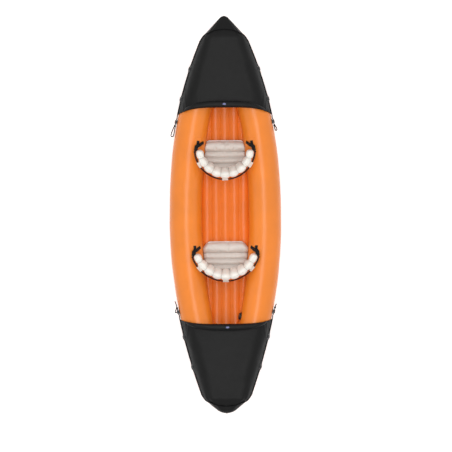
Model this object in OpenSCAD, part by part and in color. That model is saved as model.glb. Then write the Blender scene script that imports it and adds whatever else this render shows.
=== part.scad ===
// Two-seat inflatable kayak. Millimetres, +Y towards the bow, +X starboard, +Z up.
// Origin on the ground under the middle of the hull's box.

/* [Hull] */
// Overall length, bow tip to stern tip
hull_len = 3210; // [2900:10:3600]
// Overall beam across the side tubes
hull_beam = 905; // [850:5:1000]
// Side tube diameter amidships
tube_d = 264; // [240:1:280]
// Rise of the tube tops from amidships to the ends
sheer = 45; // [10:5:80]
// Where the hull is widest, measured towards the bow
wide_y = -60; // [-120:10:20]
// How late the bow draws in (higher is fuller)
bow_fullness = 2.38; // [2.1:0.02:2.7]
// How late the stern draws in
stern_fullness = 1.95; // [1.8:0.02:2.3]
// Length of the straight-sided bow nose
bow_nose = 170; // [120:5:220]
// Length of the blunter stern nose
stern_nose = 118; // [80:2:180]

/* [Floor] */
// Thickness of the inflated I-beam floor at a rib
floor_t = 88; // [70:1:100]
// Spacing of the lengthwise ribs
rib_pitch = 75; // [66:1:80]
// Sheet thickness of the floor skins and webs
sheet_t = 1.6; // [1:0.1:2.5]

/* [Covers] */
// Distance of the bow hem from amidships, on the centreline
bow_hem = 863; // [780:5:950]
// Distance of the stern hem from amidships, on the centreline
stern_hem = 880; // [800:5:960]
// How far the bow hem runs back along the sides
bow_arch = 50; // [10:2:80]
// How far the stern hem runs back along the sides
stern_arch = 32; // [10:2:60]
// Coated fabric thickness of the covers
cover_t = 2; // [1.2:0.1:3]
// Splash roll diameter in the middle
roll_d = 54; // [40:1:70]

/* [Seats] */
// Hinge line of the bow backrest, measured towards the bow
bow_seat_y = 343; // [280:5:400]
// Hinge line of the stern backrest
stern_seat_y = -477; // [-540:5:-420]
// Hinge line to the cushion's front edge
seat_len = 262; // [240:1:290]
// Cushion width before the tubes squeeze it
seat_w = 372; // [320:2:400]
// Width of one upright backrest cell
cell_w = 72; // [66:1:76]
// Bending radius of the bow backrest
bow_back_r = 204; // [190:1:235]
// Bending radius of the stern backrest
stern_back_r = 240; // [205:1:255]
// Backrest thickness
back_t = 62; // [50:1:72]
// Backrest height above its hinge line
back_h = 255; // [220:5:280]
// Resting lean of the backrests
back_lean = 8.6; // [4:0.2:14]
// Webbing width
web_w = 25; // [20:1:32]

/* [Rope] */
// Grab line diameter
rope_d = 7; // [5:0.5:8]

/* [Valves] */
// Bore of a chamber valve's insert
port_d = 25; // [22:0.5:27]

/* [Hidden] */
$fn = 48;

orange = [0.95, 0.5, 0.18];
orange_in = [0.92, 0.42, 0.14];
black = [0.1, 0.1, 0.11];
off_white = [0.9, 0.88, 0.84];
grey_white = [0.83, 0.8, 0.77];
clear_blue = [0.75, 0.85, 0.95];

// Hull form
cover_gap = 1.5;
tip_y = hull_len / 2 - cover_gap - cover_t;
bow_kink = tip_y - bow_nose;
stern_kink = -tip_y + stern_nose;
tube_n = 20;

function plan_half(y) = let (d = y - wide_y)
    hull_beam / 2 * (1 - (d >= 0 ? pow(d / (0.57 * hull_len), bow_fullness)
                                 : pow(-d / (0.5785 * hull_len), stern_fullness)));
function half_w(y) =
    y > bow_kink ? plan_half(bow_kink) * (1 - 0.86 * (y - bow_kink) / bow_nose)
    : y < stern_kink ? plan_half(stern_kink) * (1 - 0.75 * (stern_kink - y) / stern_nose)
    : plan_half(y);
function soft_min(a, b, k) = (a + b) / 2 - sqrt(pow((a - b) / 2, 2) + k * k);
function tube_r(y) = soft_min(tube_d / 2, half_w(y) / 2 - 0.5, 8);
mid_r = tube_r(wide_y);
function tube_x(y) = half_w(y) - tube_r(y);
function sheer_z(y) = 2 * mid_r + sheer * pow(abs(y) / (hull_len / 2), 2.2);
function kink_z(y) = sheer_z(y) - tube_r(y);
function tube_z(y) =
    y > bow_kink ? kink_z(bow_kink) + 0.15 * (y - bow_kink)
    : y < stern_kink ? kink_z(stern_kink) + 0.1 * (stern_kink - y)
    : kink_z(y);
function tube_top(y) = tube_z(y) + tube_r(y);
function keel_z(y) = tube_z(y) - tube_r(y);

function steps(a, b, n) = [for (i = [1:n]) a + (b - a) * i / n];
hull_ys = concat([-tip_y], steps(-tip_y, stern_kink, 3), steps(stern_kink, wide_y, 11),
                 steps(wide_y, bow_kink, 11), steps(bow_kink, tip_y, 3));

// A point on a side tube: a is measured from the crest, positive outboard
function skin(side, y, a, off) =
    [side * (tube_x(y) + (tube_r(y) + off) * sin(a)), y, tube_z(y) + (tube_r(y) + off) * cos(a)];
function unit(v) = v / norm(v);
function along(side, y, a) = unit(skin(side, y + 2, a, 0) - skin(side, y - 2, a, 0));
function outward(side, y, a) = let (t = along(side, y, a), n = [side * sin(a), 0, cos(a)])
    unit(n - (n * t) * t);
function stand_off(side, y, a, off) = skin(side, y, a, 0) + off * outward(side, y, a);

// Local X runs along the tube towards the bow, local Z stands off its skin
module on_skin(side, y, a, off) {
    t = along(side, y, a);
    n = outward(side, y, a);
    b = cross(n, t);
    o = stand_off(side, y, a, off);
    multmatrix([[t.x, b.x, n.x, o.x], [t.y, b.y, n.y, o.y], [t.z, b.z, n.z, o.z], [0, 0, 0, 1]])
        children();
}

// A closed solid through a row of rings with equal point counts
module loft(rings, flip = false) {
    m = len(rings);
    n = len(rings[0]);
    pts = [for (r = rings) each r];
    side = [for (j = [0:m - 2]) for (i = [0:n - 1])
        let (a = j * n + i, b = j * n + (i + 1) % n, c = a + n, d = b + n)
        each [[a, b, d], [a, d, c]]];
    caps = [[for (i = [n - 1:-1:0]) i], [for (i = [0:n - 1]) (m - 1) * n + i]];
    all = concat(side, caps);
    polyhedron(pts, flip ? all : [for (f = all) [for (i = [len(f) - 1:-1:0]) f[i]]], convexity = 8);
}

// A sheet between two grids of points
module sheet(up, low) {
    m = len(up);
    n = len(up[0]);
    pts = concat([for (r = up) each r], [for (r = low) each r]);
    k = m * n;
    function quad(a, b, c, d) = [[a, b, c], [a, c, d]];
    top = [for (j = [0:m - 2]) for (i = [0:n - 2]) let (a = j * n + i)
        each quad(a, a + n, a + n + 1, a + 1)];
    bottom = [for (j = [0:m - 2]) for (i = [0:n - 2]) let (a = k + j * n + i)
        each quad(a, a + 1, a + n + 1, a + n)];
    left = [for (j = [0:m - 2]) let (a = j * n) each quad(a, a + k, a + n + k, a + n)];
    right = [for (j = [0:m - 2]) let (a = j * n + n - 1) each quad(a, a + n, a + n + k, a + k)];
    first = [for (i = [0:n - 2]) each quad(i, i + 1, i + 1 + k, i + k)];
    last = [for (i = [0:n - 2]) let (a = (m - 1) * n + i) each quad(a, a + k, a + 1 + k, a + 1)];
    polyhedron(pts, concat(top, bottom, left, right, first, last), convexity = 8);
}

function ring(side, y, off) = [for (i = [0:tube_n - 1]) skin(side, y, side * i * 360 / tube_n, off)];
module tube(side, ys, off = 0) { loft([for (y = ys) ring(side, y, off)]); }

// A smooth curve through points, n steps to a span
function bend(a, b, c, d, t) = ((2 * b) + (c - a) * t + (2 * a - 5 * b + 4 * c - d) * t * t
    + (3 * b - a - 3 * c + d) * t * t * t) / 2;
function smooth(v, n = 4) = let (m = len(v) - 1) concat(
    [for (i = [0:m - 1]) for (k = [0:n - 1])
        bend(v[max(i - 1, 0)], v[i], v[i + 1], v[min(i + 2, m)], k / n)], [v[m]]);
// A point on the curve that leaves a towards b and comes to e from d
function arc(a, b, d, e, k) = let (m = 1 - k)
    a * m * m * m + b * 3 * k * m * m + d * 3 * k * k * m + e * k * k * k;
// Webbing or cord through points: w holds each point's width direction
function tangent(p, i) = unit(p[min(i + 1, len(p) - 1)] - p[max(i - 1, 0)]);
module ribbon(p, w, width, t) {
    loft([for (i = [0:len(p) - 1])
        let (d = tangent(p, i), u = unit(w[i] - (w[i] * d) * d), n = cross(d, u))
        [p[i] + u * width / 2 + n * t / 2, p[i] - u * width / 2 + n * t / 2,
         p[i] - u * width / 2 - n * t / 2, p[i] + u * width / 2 - n * t / 2]]);
}
module cord(p, d, sides = 8) {
    loft([for (i = [0:len(p) - 1])
        let (t = tangent(p, i), u = unit(cross([0, 0, 1], t)), n = cross(t, u))
        [for (k = [0:sides - 1]) p[i] + d / 2 * (u * cos(k * 360 / sides) + n * sin(k * 360 / sides))]]);
}

// Chambers
valve_y = -(stern_hem - 57);
left_valve_y = -(stern_hem + 38);
valve_a = -80;
valve_sink = 4.6;
module valve_pocket() {
    translate([0, 0, -0.3]) cylinder(r = flange_r + 0.6, h = 40);
    translate([0, 0, -46]) cylinder(r = 21.6, h = 60);
}
module right_chamber() color(orange) difference() {
    tube(1, hull_ys);
    on_skin(1, valve_y, valve_a, -valve_sink) valve_pocket();
}
module left_chamber() color(orange) difference() {
    tube(-1, hull_ys);
    on_skin(-1, left_valve_y, valve_a, -valve_sink) valve_pocket();
}

// Floor: five lengthwise ribs between two skins, tied by four webs
seam_z = 0.48 * floor_t;
floor_end = 0.402 * hull_len;
// Every second hull row, so that the floor's edges bend with the tubes
floor_ys = concat([-floor_end], [for (i = [1:2:len(hull_ys) - 1])
    if (abs(hull_ys[i]) < floor_end - 50) hull_ys[i]], [floor_end]);
function floor_half(y) = let (r = tube_r(y), drop = r - seam_z - 0.2 - sheet_t)
    max(14, tube_x(y) - sqrt(r * r - drop * drop) - 1.9);
function rib(x) = let (s = 0.92 * 2 * abs(x / rib_pitch - round(x / rib_pitch)))
    abs(x) > 2.5 * rib_pitch ? 0.64 : 1 - 0.36 * (1 - sqrt(1 - s * s)) / (1 - sqrt(1 - 0.8464));
function edge(x, y) = let (e = max(0, 1 - (floor_half(y) - abs(x)) / 42)) sqrt(max(0, 1 - e * e));
function end_fade(y) = let (e = max(0, 1 - (floor_end - abs(y)) / 90)) sqrt(max(0, 1 - e * e));
function fill(x, y) = rib(x) * edge(x, y) * end_fade(y);
function under_tube(x, y) = let (u = tube_x(y) - abs(x), r = tube_r(y))
    u < r ? tube_z(y) - sqrt(r * r - u * u) - 4 : 1000;
function top_z(x, y) = max(keel_z(y) + seam_z + 0.2 + sheet_t,
    min(keel_z(y) + seam_z + 0.2 + sheet_t + (floor_t - seam_z - sheet_t - 0.2) * fill(x, y),
        under_tube(x, y)));
function bottom_z(x, y) = keel_z(y) + (seam_z - 0.2 - sheet_t) * (1 - fill(x, y));
columns = concat([for (i = [0:10]) i * rib_pitch / 4], [3 * rib_pitch]);
function column_x(u, y) = let (f = floor_half(y), m = min(24, f / 2), last = columns[11])
    u <= f - m ? (u == last ? f : u) : f - m + m * (u - f + m) / (last - f + m);
function floor_row(y) = concat([for (i = [11:-1:1]) -column_x(columns[i], y)],
                               [for (i = [0:11]) column_x(columns[i], y)]);
floor_valve_y = bow_hem + 67;
module floor_top_sheet() color(orange_in) difference() {
    sheet([for (y = floor_ys) [for (x = floor_row(y)) [x, y, top_z(x, y)]]],
          [for (y = floor_ys) [for (x = floor_row(y)) [x, y, top_z(x, y) - sheet_t]]]);
    translate([0, floor_valve_y, 0]) cylinder(r = 21.6, h = 300);
}
module floor_bottom_sheet() color(orange_in)
    sheet([for (y = floor_ys) [for (x = floor_row(y)) [x, y, bottom_z(x, y) + sheet_t]]],
          [for (y = floor_ys) [for (x = floor_row(y)) [x, y, bottom_z(x, y)]]]);
module web(x) {
    ys = [for (y = floor_ys) if (floor_half(y) > abs(x) + 45 && abs(y) < floor_end - 60) y];
    loft([for (y = ys) let (lo = bottom_z(x, y) + sheet_t + 0.3, hi = top_z(x, y) - sheet_t - 0.3,
                            h = sheet_t / 2)
        [[x + h, y, lo], [x + h, y, hi], [x - h, y, hi], [x - h, y, lo]]], flip = true);
}
module floor_webs() color(orange_in) for (x = [-1.5, -0.5, 0.5, 1.5]) web(x * rib_pitch);

// Welded strips that close the groove under the tubes, from the floor to the tips
keel_as = [-157, -148, -139];
function keel_row(y, off) = concat([for (a = keel_as) skin(-1, y, a, off)],
                                   [for (i = [2:-1:0]) skin(1, y, keel_as[i], off)]);
module keel_strip(s) {
    inner = [for (y = hull_ys) if (s * y > floor_end + 12 && s * y < tip_y - 2) y];
    root = s * (floor_end + 2);
    ys = s > 0 ? concat([root], inner, [tip_y - 1]) : concat([1 - tip_y], inner, [root]);
    sheet([for (y = ys) keel_row(y, 0.8)], [for (y = ys) keel_row(y, 0.8 + sheet_t)]);
}
module bow_keel_strip() color(orange) keel_strip(1);
module stern_keel_strip() color(orange) keel_strip(-1);

// Covers: sheets over both tubes, straight across between the crests
cover_as = [126, 108, 90, 72, 54, 36, 18, 0];
deck_crown = 8;
// The hem runs across nearly straight and sweeps back near the sides
function hem_arch(y) = y > 0 ? bow_arch : stern_arch;
function arch(y, hem) = let (f = max(0, 1 - (abs(y) - hem) / 260)) hem_arch(y) * f * f;
function cover_y(y, hem, x) = y - sign(y) * arch(y, hem) * pow(x / half_w(y), 4);
function cover_point(y, hem, i, off) =
    let (k = i < 8 ? i : i == 8 ? 8 : 16 - i, side = i < 8 ? 1 : -1,
         yy = cover_y(y, hem, k == 8 ? 0 : tube_x(y) + tube_r(y) * sin(min(90, cover_as[k]))))
    k == 8 ? [0, yy, tube_top(yy) + off + deck_crown * (1 - (abs(y) - hem) / (tip_y - hem))]
           : skin(side, yy, cover_as[k], off);
function nose_point(s, i, off, r) = let (p = -36 + 252 * i / 16, y = s * (tip_y + off))
    [r * cos(p), y, tube_z(s * tip_y) + r * sin(p)];
function cover_grid(s, hem, off, r) = let (kink = s > 0 ? bow_kink : stern_kink)
    concat([for (y = concat([s * hem], steps(s * hem, kink, 8), steps(kink, s * tip_y, 3)))
                [for (i = [0:16]) cover_point(y, hem, i, off)]],
           [[for (i = [0:16]) nose_point(s, i, off, r)]]);
module cover(s, hem) {
    far = cover_grid(s, hem, cover_gap + cover_t, 3);
    near = cover_grid(s, hem, cover_gap, 1.5);
    if (s > 0) sheet(near, far);
    else sheet(far, near);
}
module bow_cover() color(black) cover(1, bow_hem);
module stern_cover() color(black) cover(-1, stern_hem);

// Splash rolls: spindle-shaped tubes lying on the hems
roll_share = 0.9;
function roll_r(u) = 4 + (roll_d / 2 - 4) * sqrt(max(0, 1 - u * u));
function roll_half(s, hem) = roll_share * half_w(s * (hem - hem_arch(s) / 2));
function roll_axis(s, hem, u) =
    let (x = u * roll_half(s, hem), y = s * (hem + roll_r(u) - hem_arch(s) * pow(u * roll_share, 4)),
         c = tube_x(y), r = tube_r(y) + cover_gap + cover_t, out = max(0, abs(x) - c),
         q = max(0, 1 - abs(x) / c))
    [x, y, tube_z(y) + sqrt(r * r - out * out) + roll_r(u) + 1
        + deck_crown * q + 0.06 * out];
function roll_ring(s, hem, u) = let (o = roll_axis(s, hem, u), r = roll_r(u))
    [for (k = [0:11]) o + r * [0, sin(k * 30), cos(k * 30)]];
module roll(s, hem) loft([for (i = [-8:8]) roll_ring(s, hem, i / 8)], flip = true);
module bow_splash_roll() color(black) roll(1, bow_hem);
module stern_splash_roll() color(black) roll(-1, stern_hem);

// Grab lines: along the sides of each cover, over the nose
rope_a = 78;
rope_off = 13.5;
knot_r = 8.5;
knot_gap = 19;
eye_pitch = 243;
bow_eye_y = bow_hem + 73;
stern_eye_y = -(stern_hem + 109);
bow_tie_y = bow_hem - 125;
stern_tie_y = -(stern_hem - 110);
function rope_side(side, ys) = [for (y = ys) stand_off(side, y, rope_a, rope_off)];
// Over the nose: distance beyond the kink, angle from the crest
rope_nose = [[10, 66], [26, 48], [40, 28], [52, 8]];
function rope_half(side, tie, far, kink, s) = concat(
    let (root = tie - s * (knot_gap - knot_r - 0.3))
        rope_side(side, concat([root], steps(root, far, 10), steps(far, kink - s * 30, 3))),
    [for (p = rope_nose) stand_off(side, kink + s * p[0], p[1], rope_off)]);
function rope_path(tie, far, kink, s) =
    let (p = rope_half(1, tie, far, kink, s), y = kink + s * 62,
         q = [tube_x(y) * 0.3, y, tube_top(y) + cover_gap + cover_t + rope_d / 2 + 6])
    concat(p, [q, [-q.x, q.y, q.z]], [for (i = [len(p) - 1:-1:0]) [-p[i].x, p[i].y, p[i].z]]);
module bow_grab_line() color(black) cord(rope_path(bow_tie_y, bow_eye_y + eye_pitch, bow_kink, 1), rope_d);
module stern_grab_line() color(black) cord(rope_path(stern_tie_y, stern_eye_y - eye_pitch, stern_kink, -1), rope_d);
// An eyelet saddle: foot on the skin, rope hole on the rope's line
module eyelet(foot) {
    difference() {
        union() {
            translate([-22, -12, foot]) cube([44, 24, 2.6]);
            translate([-13, 0, foot]) rotate([0, 90, 0]) translate([-(rope_off - foot), 0, 0])
                cylinder(r = 7, h = 26);
            translate([-13, -7, foot]) cube([26, 14, rope_off - foot]);
        }
        translate([-30, 0, rope_off]) rotate([0, 90, 0]) cylinder(r = rope_d / 2 + 0.9, h = 60);
    }
}
module line_eyelets(y) for (s = [-1, 1]) for (k = [0, 1])
    on_skin(s, y + sign(y) * k * eye_pitch, rope_a, 0) eyelet(cover_gap + cover_t - 0.1);
module bow_line_eyelets() color(black) line_eyelets(bow_eye_y);
module stern_line_eyelets() color(black) line_eyelets(stern_eye_y);
module line_tie_offs() color(black)
    for (s = [-1, 1]) for (y = [bow_tie_y + 14, stern_tie_y - 14]) on_skin(s, y, rope_a, 0) eyelet(-0.6);
// Knots at the rope's ends, each with its own loop or tail
end_d = rope_d - 0.5;
module knot() { sphere(r = knot_r, $fn = 32); }
module rope_loop(l, w) {
    r = w / 2 - rope_d / 2;
    h = l - w;
    for (k = [-1, 1]) translate([0, k * r, 0]) rotate([0, 90, 0])
        cylinder(d = end_d, h = h, $fn = 24);
    for (e = [[0, 90], [h, -90]]) translate([e[0], 0, 0]) rotate([0, 0, e[1]])
        rotate_extrude(angle = 180, $fn = 32) translate([r, 0]) circle(d = end_d, $fn = 24);
}
// dir is 1 towards the bow; droop turns the loop down along the tube's side
module rope_end(side, y, dir, loop_l, loop_w, droop, tail) on_skin(side, y, rope_a, rope_off) {
    turn = dir > 0 ? -side * droop : 180 + side * droop;
    knot();
    if (loop_l > 0) rotate([0, 0, turn]) translate([5 + loop_w / 2, 0, 5]) rotate([90, 0, 0])
        rope_loop(loop_l, loop_w);
    if (tail > 0) translate([5, 0, 0]) rotate([0, 80, 0]) cylinder(d = end_d, h = tail, $fn = 24);
}
module line_ends() color(black) {
    rope_end(-1, bow_tie_y - knot_gap, -1, 90, 30, 12, 0);
    rope_end(1, bow_tie_y - knot_gap, -1, 42, 24, 10, 0);
    rope_end(-1, stern_tie_y + knot_gap, -1, 56, 25, 52, 40);
    rope_end(1, stern_tie_y + knot_gap, -1, 0, 0, 0, 26);
}

// Seats
seat_z = keel_z(bow_seat_y + seat_len) + floor_t + 1;
rear_d = 42;
hinge_z = seat_z + rear_d / 2;
front_d = 82;
row_d = 56;
cell_rows = (seat_len - 13 - front_d - rear_d / 2) / 3;
function tube_ys(y0, y1) = concat([y0], steps(y0, y1, 4));
module squeeze(y0, y1, off) for (s = [-1, 1]) tube(s, tube_ys(y0, y1), off);
module cushion_profile() {
    // across is the distance ahead of the hinge line
    y2 = seat_len - 13 - front_d;
    translate([seat_len - 13 - front_d / 2, 0]) circle(d = front_d);
    for (i = [0:2]) translate([y2 - (i + 0.5) * cell_rows, (row_d - front_d) / 2]) circle(d = row_d);
    translate([0, (rear_d - front_d) / 2]) circle(d = rear_d);
    translate([0, -front_d / 2 + 10]) square([seat_len - 40, front_d / 2 - 12]);
    translate([seat_len - 40, -3]) square([40, 4]);
}
// The rear edge is cut round to the backrest's bend
module cushion(yh, r) difference() {
    intersection() {
        translate([-seat_w / 2, yh, seat_z + front_d / 2]) rotate([90, 0, 90])
            linear_extrude(seat_w) cushion_profile();
        translate([0, yh + pad_y + r, 0]) linear_extrude(2 * tube_d) {
            circle(r + back_t / 2);
            translate([-seat_w, 0]) square([2 * seat_w, 2 * seat_len]);
        }
    }
    squeeze(yh - 60, yh + seat_len + 40, 1);
}
module bow_cushion() color(grey_white) cushion(bow_seat_y, bow_back_r);
module stern_cushion() color(grey_white) cushion(stern_seat_y, stern_back_r);

// Backrest, built about its hinge line; a positive lean tips it backwards
back_max = 15;
cells = 9;
pad_y = 8;
function cell_step(r) = cell_w / r * 180 / PI;
module on_hinge(yh, lean = back_lean) translate([0, yh, hinge_z]) rotate([lean, 0, 0]) children();
module on_arc(r, a) translate([0, pad_y + r, 0]) rotate([0, 0, a]) translate([0, -r, 0]) children();
function cell_low(k) = abs(k) == 4 ? 128 : abs(k) == 3 ? 92 : 30;
function cell_top(k) = back_h - 1.6 * k * k;
module cell(k) {
    lo = cell_low(k);
    hi = cell_top(k);
    w = cell_w * (abs(k) == 4 ? 0.92 : 1.08);
    rows = [[lo, 0.3], [lo + 0.28 * (hi - lo), 1], [hi - 0.42 * (hi - lo), 1],
            [hi - 0.2 * (hi - lo), 0.78], [hi, 0.3]];
    hull() for (p = rows) translate([0, 0, p[0]]) scale([0.55 + 0.45 * p[1], p[1] * back_t / w, 1])
        cylinder(d = w, h = 0.2, center = true, $fn = 16);
}
module backrest(yh, r) difference() {
    on_hinge(yh) for (k = [-4:4]) on_arc(r, (abs(k) == 4 ? 0.97 * k : k) * cell_step(r)) cell(k);
    squeeze(yh - 120, yh + 300, 1.5);
    translate([0, yh, hinge_z]) rotate([-back_max, 0, 0]) translate([0, -yh, -hinge_z])
        squeeze(yh - 120, yh + 300, 1.5);
}
module bow_backrest() color(off_white) backrest(bow_seat_y, bow_back_r);
module stern_backrest() color(off_white) backrest(stern_seat_y, stern_back_r);

// Welded flaps: each wraps the cushion's rear bead and carries the backrest
flap_w = 60;
module hinge_flap(yh) on_hinge(yh) {
    wrap_r = rear_d / 2 + 0.3;
    foot = sqrt(pow(wrap_r + sheet_t / 2, 2) - pad_y * pad_y);
    rotate([0, 90, 0]) rotate([0, 0, 148]) rotate_extrude(angle = 62)
        translate([wrap_r, -flap_w / 2]) square([sheet_t, flap_w]);
    translate([-flap_w / 2, pad_y - sheet_t / 2, foot]) cube([flap_w, sheet_t, cell_low(0) - 0.3 - foot]);
}
module bow_hinge_flap() color(off_white) hinge_flap(bow_seat_y);
module stern_hinge_flap() color(off_white) hinge_flap(stern_seat_y);

// Webbing behind the backrest: a conical band, held by three keepers
strap_t = 1.8;
strap_z = back_h - 72;
strap_tilt = 32;
strap_out = back_t / 2 + 7.6;
function strap_end(r) = 4.1 * cell_step(r);
module strap_section(grow) translate([strap_out, strap_z]) rotate(strap_tilt)
    translate([-grow, -web_w / 2 - grow]) square([strap_t + 2 * grow, web_w + 2 * grow]);
module arc_band(r, a0, a1) translate([0, pad_y + r, 0]) rotate([0, 0, -90 + a0])
    rotate_extrude(angle = a1 - a0, $fn = 96) translate([r, 0]) children();
module back_strap(yh, r) on_hinge(yh) arc_band(r, -strap_end(r), strap_end(r)) strap_section(0);
module bow_back_strap() color(black) back_strap(bow_seat_y, bow_back_r);
module stern_back_strap() color(black) back_strap(stern_seat_y, stern_back_r);
module keepers(yh, r) on_hinge(yh) for (k = [-2.9, 0, 2.9])
    let (a = k * cell_step(r), da = 20 / r * 180 / PI)
    arc_band(r, a - da, a + da) difference() {
        strap_section(2.6);
        strap_section(0.8);
    }
module bow_strap_keepers() color(off_white) keepers(bow_seat_y, bow_back_r);
module stern_strap_keepers() color(off_white) keepers(stern_seat_y, stern_back_r);

// Strap hardware at the wings
function lean_back(yh, p) = [p.x, yh + p.y * cos(back_lean) - p.z * sin(back_lean),
                             hinge_z + p.y * sin(back_lean) + p.z * cos(back_lean)];
function band_point(yh, r, a, up) =
    let (d = r + strap_out + strap_t / 2 - up * sin(strap_tilt), z = strap_z + up * cos(strap_tilt))
    lean_back(yh, [d * sin(a), pad_y + r - d * cos(a), z]);
anchor_a = -30;
patch_off = 0.7;
patch_t = 1.5;
tail_a = -50;
buckle_tilt = 50;
function wing_end(s, yh, r) = band_point(yh, r, s * (strap_end(r) + 0.5), 0);
function anchor_y(yh, r) = wing_end(1, yh, r).y + 78;
function anchor_point(s, yh, r) = skin(s, anchor_y(yh, r), anchor_a, patch_off + patch_t + strap_t / 2 + 0.8);
function buckle_point(s, yh, r) = let (a = wing_end(s, yh, r), b = anchor_point(s, yh, r)) a + (b - a) * 0.46;
function web_dir(s, yh, r) = let (d = unit(anchor_point(s, yh, r) - wing_end(s, yh, r)),
                                  v = [-s * sin(buckle_tilt), 0, cos(buckle_tilt)])
    unit(v - (v * d) * d);
module wing_straps(yh, r) for (s = [-1, 1]) {
    e = strap_end(r);
    a = band_point(yh, r, s * (e + 0.15), 0);
    c = buckle_point(s, yh, r);
    u = unit(band_point(yh, r, s * e, 1) - band_point(yh, r, s * e, -1));
    v = web_dir(s, yh, r);
    t = unit(band_point(yh, r, s * (e + 1), 0) - band_point(yh, r, s * (e - 1), 0));
    d = unit(c - a);
    f = c - d * 22;
    steps = [for (k = [0:8]) k / 8];
    ribbon(concat([a], [for (k = steps) arc(a + t * 4, a + t * 11, f - d * 4, f, k)], [c - d * 16.6]),
           concat([u], [for (k = steps) u + (v - u) * k], [v]), web_w, strap_t);
}
module bow_wing_straps() color(black) wing_straps(bow_seat_y, bow_back_r);
module stern_wing_straps() color(black) wing_straps(stern_seat_y, stern_back_r);
module at_buckle(s, yh, r) {
    o = buckle_point(s, yh, r);
    d = unit(anchor_point(s, yh, r) - wing_end(s, yh, r));
    v = web_dir(s, yh, r);
    n = cross(d, v);
    multmatrix([[d.x, v.x, n.x, o.x], [d.y, v.y, n.y, o.y], [d.z, v.z, n.z, o.z], [0, 0, 0, 1]])
        children();
}
module buckle() {
    difference() {
        translate([-16, -web_w / 2 - 5, -2.6]) cube([32, web_w + 10, 5.2]);
        for (x = [-11, -1.5, 8]) translate([x - 2.5, -web_w / 2 - 1.5, -4]) cube([5, web_w + 3, 8]);
    }
}
module bow_buckles() color(black) for (s = [-1, 1]) at_buckle(s, bow_seat_y, bow_back_r) buckle();
module stern_buckles() color(black) for (s = [-1, 1]) at_buckle(s, stern_seat_y, stern_back_r) buckle();
module anchor_straps(yh, r) for (s = [-1, 1]) {
    c = buckle_point(s, yh, r);
    e = anchor_point(s, yh, r);
    d = unit(e - c);
    y = anchor_y(yh, r);
    b = unit(skin(s, y, anchor_a - 3, 0) - skin(s, y, anchor_a + 3, 0));
    v = web_dir(s, yh, r);
    t = along(s, y, anchor_a);
    foot = e - t * 9 + 4.5 * outward(s, y, anchor_a);
    ribbon(smooth([c + d * 17, c + (e - c) * 0.65, foot, e, e + t * 22]),
           smooth([v, b, b, b, b]), web_w, strap_t);
}
module bow_anchor_straps() color(black) anchor_straps(bow_seat_y, bow_back_r);
module stern_anchor_straps() color(black) anchor_straps(stern_seat_y, stern_back_r);
// Loose strap ends falling from the buckles to the tubes' inner shoulders
module strap_tails(yh, r) for (s = [-1, 1]) {
    o = buckle_point(s, yh, r);
    d = unit(anchor_point(s, yh, r) - wing_end(s, yh, r));
    v = web_dir(s, yh, r);
    n = s * cross(d, v);
    p = o + n * 6.4;
    y = anchor_y(yh, r) + 4;
    e = stand_off(s, y, tail_a, 7);
    q = (p + e) / 2 + [0, 0, (p.z - e.z) * 0.4];
    w = unit(cross([0, 0, s], q - p));
    u = unit(cross(outward(s, y, tail_a), e - q)) * s;
    ribbon(smooth([p, p + d * 12 + n * 9, q, e]), smooth([v, unit(v * 3 + w), w, u]), web_w, strap_t);
}
module bow_strap_tails() color(black) strap_tails(bow_seat_y, bow_back_r);
module stern_strap_tails() color(black) strap_tails(stern_seat_y, stern_back_r);
// Patches that follow the tube, welded under the anchor straps
module patch(s, y, a, l, arc) {
    ys = [for (i = [-2:2]) y + i * l / 4];
    as = [for (i = [-2:2]) a + i * arc / 4];
    grid = function(off) [for (yy = ys) [for (aa = as) skin(s, yy, aa, off)]];
    if (s > 0) sheet(grid(patch_off + patch_t), grid(patch_off));
    else sheet(grid(patch_off), grid(patch_off + patch_t));
}
module anchor_patches(yh, r) for (s = [-1, 1]) patch(s, anchor_y(yh, r) + 12, anchor_a, 74, 28);
module bow_anchor_patches() color(orange) anchor_patches(bow_seat_y, bow_back_r);
module stern_anchor_patches() color(orange) anchor_patches(stern_seat_y, stern_back_r);

// Chamber valves, built with the flange's underside at z = 0 and the hinge towards -Y
flange_r = 33;
hinge_r = 37;
hinge_h = 6;
module valve_seat() {
    difference() {
        union() {
            cylinder(r = flange_r, h = 3);
            translate([0, 0, -22]) cylinder(r = 21, h = 31);
            for (x = [-10, 6]) translate([x, -hinge_r - 3, 0]) cube([4, 14, 9]);
        }
        translate([0, 0, -30]) cylinder(r = 16.2, h = 50);
    }
    translate([-8, -hinge_r, hinge_h]) rotate([0, 90, 0]) cylinder(r = 1.8, h = 16);
}
module valve_insert() {
    difference() {
        translate([0, 0, -20]) cylinder(r = 16, h = 28);
        translate([0, 0, -30]) cylinder(d = port_d, h = 50);
        translate([0, 0, -30]) cylinder(d = port_d + 3, h = 18);
    }
    difference() {
        for (a = [0, 120, 240]) rotate([0, 0, a]) translate([0, -1.5, -20]) cube([15, 3, 4]);
        translate([0, 0, -25]) cylinder(r = 3.6, h = 20);
    }
    difference() {
        translate([0, 0, -20]) cylinder(r = 4.5, h = 4);
        translate([0, 0, -25]) cylinder(r = 2.2, h = 20);
    }
}
module valve_flap() {
    translate([0, 0, -21.8]) cylinder(r = 15, h = 1.5);
    translate([0, 0, -21.8]) cylinder(r = 1.9, h = 7);
    translate([0, 0, -15.7]) cylinder(r = 3.4, h = 1.6);
}
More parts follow.
